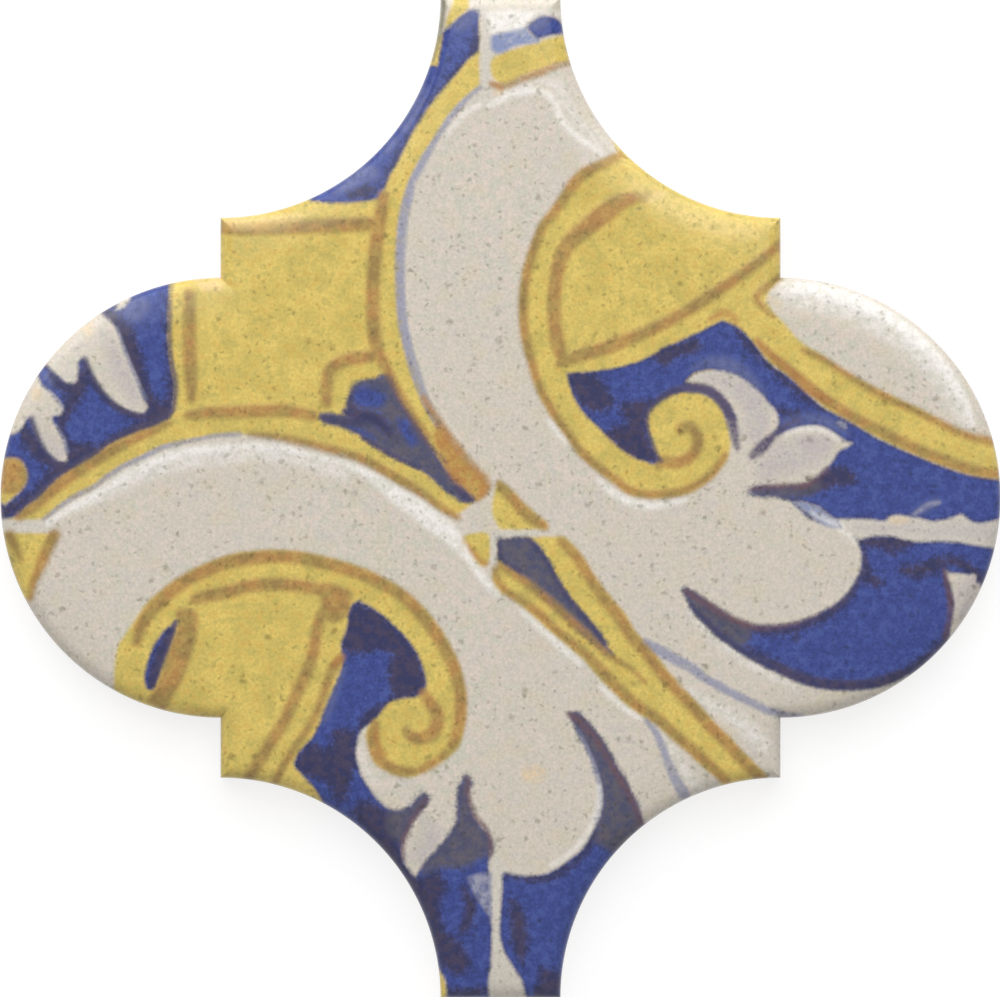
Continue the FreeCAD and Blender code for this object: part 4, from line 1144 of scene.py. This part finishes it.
def paint_distance(tree, name):
    """The distance in mm that the mesh keeps for a paint."""
    return node(tree, "ShaderNodeAttribute", attribute_name=name).outputs["Fac"]


def off_middle(tree, value, part):
    """A noise turned into an amount to either side of nothing."""
    return math_node(tree, "MULTIPLY", math_node(tree, "SUBTRACT", value, 0.5), part)


def ragged(tree, noises, distance, part, fine_part):
    """A distance in mm with the mottle's and the grain's unevenness added to it."""
    coarse = off_middle(tree, noises["mottle"], part)
    fine = off_middle(tree, noises["grain"], fine_part)
    return math_node(tree, "ADD", distance, math_node(tree, "ADD", coarse, fine))


def coverage(tree, noises, name, soft, thinnest, thickest):
    """How much of a paint shows: soft at its edge and thin in places."""
    raggedness = (1.8, 1.4) if name in BLUE_TINTS else (0.5, 0.3)
    edge = ramp(tree, ragged(tree, noises, paint_distance(tree, name), *raggedness), soft, -soft)
    thickness = ramp(tree, noises["mottle"], 0.36, 0.58, thinnest, thickest)
    return math_node(tree, "MULTIPLY", edge, thickness)


def cream_ground(tree, noises):
    """The pale glaze that everything is painted on."""
    cream = mix(tree, ramp(tree, noises["tint"], 0.36, 0.64), rgb(203, 199, 183), rgb(216, 203, 190))
    cream = mix(tree, ramp(tree, noises["broad"], 0.38, 0.62, 0, 0.6), cream, rgb(209, 200, 186))
    cream = mix(tree, ramp(tree, noises["cloud"], 0.5, 0.74, 0, 0.55), cream, rgb(210, 197, 172))
    return mix(tree, ramp(tree, noises["blotch"], 0.54, 0.7, 0, 0.5), cream, rgb(204, 196, 190))


def yellow_paint(tree, noises):
    """Yellow that turns orange and greenish in places."""
    yellow = mix(tree, ramp(tree, noises["cloud"], 0.35, 0.65), rgb(204, 182, 94), rgb(222, 196, 104))
    yellow = mix(tree, ramp(tree, noises["tint"], 0.5, 0.68, 0, 0.45), yellow, rgb(212, 172, 84))
    return mix(tree, ramp(tree, noises["tint"], 0.5, 0.34, 0, 0.45), yellow, rgb(184, 168, 88))


def cobalt_paint(tree, noises):
    """Blue, nearly black where the cobalt was laid on thickly and darker where it pooled at its edge."""
    thick = ragged(tree, noises, paint_distance(tree, "thick_cobalt"), 2.2, 2.6)
    thick = ramp(tree, thick, 0.8, -0.8, 0.0, 0.96)
    pooled = ramp(tree, paint_distance(tree, "blue"), -0.8, 0.0, 0.0, 0.4)
    thin_blue = mix(tree, ramp(tree, noises["grain"], 0.32, 0.68), rgb(46, 61, 130), rgb(58, 75, 146))
    thin_blue = mix(tree, ramp(tree, noises["tint"], 0.5, 0.68, 0, 0.6), thin_blue, rgb(70, 88, 156))
    thin_blue = mix(tree, ramp(tree, noises["tint"], 0.48, 0.32, 0, 0.5), thin_blue, rgb(42, 54, 118))
    thick_blue = mix(tree, ramp(tree, noises["tint"], 0.38, 0.62), rgb(40, 42, 84), rgb(61, 52, 80))
    thick_blue = mix(tree, ramp(tree, noises["grain"], 0.56, 0.72, 0, 0.5), thick_blue, rgb(68, 70, 112))
    return mix(tree, math_node(tree, "MAXIMUM", thick, pooled), thin_blue, thick_blue)


def painted_colour(tree, noises):
    """The cream ground with every paint laid over it in turn."""
    def clouded(name, low, high, a, b):
        return mix(tree, ramp(tree, noises[name], low, high), rgb(*a), rgb(*b))

    slate = clouded("tint", 0.35, 0.65, (76, 76, 94), (91, 85, 95))
    lavender = clouded("mottle", 0.35, 0.65, (130, 132, 158), (156, 156, 174))
    brown = clouded("cloud", 0.4, 0.6, (150, 122, 68), (176, 130, 72))
    navy = clouded("tint", 0.38, 0.62, (50, 50, 90), (68, 60, 90))
    # For each paint its colour, the softness of its edge in mm and how it covers where thin and thick
    layers = {
        "joint": (rgb(208, 201, 189), 0.4, 0.9, 1.0),
        "grey": (rgb(184, 176, 178), 1.4, 0.35, 0.75),
        # Pale is painted highlight along the rounded edge and beside the white lines
        "pale": (rgb(236, 234, 231), 0.9, 0.12, 0.5),
        "yellow": (yellow_paint(tree, noises), 0.45, 1.0, 1.0),
        # Peach stains, partly painted highlight near the upper edges
        "stain_and_highlight": (rgb(228, 198, 150), 0.6, 0.2, 0.55),
        "sky": (rgb(124, 138, 180), 0.5, 0.7, 0.95),
        "blue": (cobalt_paint(tree, noises), 0.42, 1.0, 1.0),
        # Washed-out cobalt, partly painted highlight near the upper edges
        "haze_and_highlight": (rgb(112, 118, 152), 0.8, 0.3, 0.55),
        "slate": (slate, 0.8, 0.8, 0.95),
        "lavender": (lavender, 0.4, 0.6, 0.95),
        "brown": (brown, 0.6, 0.68, 0.97),
        "rust": (rgb(178, 122, 64), 0.6, 0.5, 0.85),
        # Painted highlight on the rounded edge
        "straw_highlight": (rgb(244, 218, 142), 1.0, 0.2, 0.5),
        # Painted shade down the upper neck's left edge
        "olive_edge_shade": (rgb(128, 126, 104), 0.3, 0.6, 0.9),
        "violet": (rgb(82, 72, 100), 0.5, 0.75, 0.98),
        "maroon": (rgb(104, 74, 82), 0.5, 0.5, 0.9),
        "navy": (navy, 0.45, 0.7, 0.95),
        # White glaze, partly painted highlight
        "white": (rgb(240, 236, 230), 0.6, 0.5, 0.92),
    }
    colour = cream_ground(tree, noises)
    for name in PAINTS:
        paint_colour, *cover = layers[name]
        colour = mix(tree, coverage(tree, noises, name, *cover), colour, paint_colour)
    return colour


def specked(tree, place, colour):
    """The colour with dark specks in it, bent out of round."""
    def worked(operation, inputs):
        return node(tree, "ShaderNodeVectorMath", inputs, operation=operation).outputs[0]

    waves = node(tree, "ShaderNodeTexNoise", {"Vector": place, "Scale": SPECK_BENDS_PER_MM * MM_PER_METRE})
    centred = worked("SUBTRACT", {0: waves.outputs["Color"], 1: (0.5, 0.5, 0.5)})
    bent = worked("ADD", {0: place, 1: worked("SCALE", {0: centred, "Scale": SPECK_BEND})})
    for per_mm, empty, largest, darkness in SPECKS:
        cells = node(tree, "ShaderNodeTexVoronoi", {"Vector": bent, "Scale": per_mm * MM_PER_METRE})
        chance = node(tree, "ShaderNodeSeparateColor", {0: cells.outputs["Color"]}).outputs[0]
        radius = ramp(tree, chance, empty, 1.0, 0.0, largest)
        outside = math_node(tree, "SUBTRACT", cells.outputs["Distance"], radius)
        speck = ramp(tree, outside, 0.0, -0.3, 0.0, darkness)
        colour = mix(tree, speck, colour, mix(tree, 1.0, colour, rgb(182, 182, 172), "MULTIPLY"))
    return colour


def glaze_finish():
    """Hand-painted glaze on the face and down the sides, and bare fired clay below and behind."""
    finish = bpy.data.materials.new("painted_glaze")
    finish.use_nodes = True
    tree = finish.node_tree
    tree.nodes.clear()
    place = tree.nodes.new("ShaderNodeTexCoord").outputs["Object"]
    noises = glaze_noises(tree, place)

    grain = ramp(tree, noises["grain"], 0.3, 0.7)
    grainy = mix(tree, grain, grey(0.9), grey(1.1))
    painted = specked(tree, place, painted_colour(tree, noises))
    painted = mix(tree, 1.0, painted, grainy, "MULTIPLY")
    clay = mix(tree, grain, rgb(196, 178, 158), rgb(214, 199, 180))

    height = node(tree, "ShaderNodeSeparateXYZ", {0: place}).outputs["Z"]
    height = math_node(tree, "ADD", height, off_middle(tree, noises["cloud"], GLAZE_FOOT_WANDER))
    glazed = ramp(tree, height, GLAZE_FOOT, GLAZE_FOOT + GLAZE_FOOT_SOFTNESS)
    surface = mix(tree, glazed, clay, painted)
    dullness = ramp(tree, glazed, 0, 1, 0.85, 0.2)
    ripple = node(
        tree,
        "ShaderNodeBump",
        {"Height": noises["mottle"], "Strength": 0.25, "Distance": 0.00012},
    ).outputs[0]
    shader = node(
        tree,
        "ShaderNodeBsdfPrincipled",
        {"Base Color": surface, "Roughness": dullness, "IOR": 1.42, "Normal": ripple},
    ).outputs[0]
    tree.links.new(shader, tree.nodes.new("ShaderNodeOutputMaterial").inputs["Surface"])
    return finish


def seen_ray(tree):
    """1 where the camera looks, also by way of a mirror or glass, and 0 where only light travels."""
    ray = tree.nodes.new("ShaderNodeLightPath").outputs
    seen = math_node(tree, "MAXIMUM", ray["Is Camera Ray"], ray["Is Glossy Ray"])
    return math_node(tree, "MAXIMUM", seen, ray["Is Transmission Ray"])


def add_floor():
    """A pale floor that the camera sees as white, with the tile's shadow left on it."""
    side, below = 4.0, 0.00005
    corners = [(-side, -side, 0), (side, -side, 0), (side, side, 0), (-side, side, 0)]
    mesh = bpy.data.meshes.new("floor")
    mesh.from_pydata(corners, [], [(0, 1, 2, 3)])
    floor = bpy.data.objects.new("floor", mesh)
    floor.location.z = -below
    bpy.context.collection.objects.link(floor)
    finish = bpy.data.materials.new("pale_floor")
    finish.use_nodes = True
    tree = finish.node_tree
    tree.nodes.clear()
    seen = seen_ray(tree)
    # Where the camera looks, the floor takes less light from the lamps and makes up the white itself
    shade = mix(tree, seen, grey(0.8), grey(0.3))
    lit = node(tree, "ShaderNodeBsdfDiffuse", {"Color": shade})
    strength = math_node(tree, "MULTIPLY", seen, 0.78)
    glow = node(tree, "ShaderNodeEmission", {"Color": grey(1), "Strength": strength})
    both = node(tree, "ShaderNodeAddShader", {0: lit.outputs[0], 1: glow.outputs[0]})
    tree.links.new(both.outputs[0], tree.nodes.new("ShaderNodeOutputMaterial").inputs["Surface"])
    mesh.materials.append(finish)


def add_lamp(name, place, width, depth, power, mirrored=True):
    """A soft lamp that looks at the tile's middle, and whether the glaze mirrors it."""
    data = bpy.data.lights.new(name, "AREA")
    data.shape = "RECTANGLE"
    data.size, data.size_y = width, depth
    data.energy = power
    lamp = bpy.data.objects.new(name, data)
    lamp.location = place
    lamp.visible_glossy = mirrored
    lamp.rotation_euler = (-Vector(place)).to_track_quat("-Z", "Y").to_euler()
    bpy.context.collection.objects.link(lamp)


def add_world():
    """A white studio, dimmer as light than as background."""
    world = bpy.data.worlds.new("studio")
    world.use_nodes = True
    tree = world.node_tree
    tree.nodes.clear()
    levels = {"Value": seen_ray(tree), "To Min": 0.28, "To Max": 1.0}
    strength = node(tree, "ShaderNodeMapRange", levels).outputs[0]
    sky = node(tree, "ShaderNodeBackground", {"Color": grey(1), "Strength": strength})
    tree.links.new(sky.outputs[0], tree.nodes.new("ShaderNodeOutputWorld").inputs["Surface"])
    bpy.context.scene.world = world


def add_camera():
    """Straight above the face, where the stencil's own middle is the picture's."""
    distance = 2.0
    width, height = STENCIL_SIZE
    data = bpy.data.cameras.new("camera")
    data.sensor_width = 36
    data.lens = data.sensor_width * distance / (width * STENCIL_STEP)
    data.clip_end = 20
    camera = bpy.data.objects.new("camera", data)
    across, up = width / 2 - STENCIL_CENTRE[0], STENCIL_CENTRE[1] - height / 2
    camera.location = (across * STENCIL_STEP, up * STENCIL_STEP, THICKNESS - CUSHION + distance)
    bpy.context.collection.objects.link(camera)
    bpy.context.scene.camera = camera


tile = shaped_tile(glaze_finish())
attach(tile, "root")
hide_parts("tile")

add_floor()
add_lamp("window", (-0.08, 0.85, 0.5), width=2.4, depth=1.1, power=17.9)
add_lamp("overhead", (0.0, 0.36, 1.05), width=1.0, depth=0.44, power=2.8)
add_lamp("fill", (0.0, -0.9, 0.34), width=1.6, depth=0.6, power=1.4, mirrored=False)
add_world()
add_camera()
bpy.context.scene.view_settings.view_transform = "Standard"
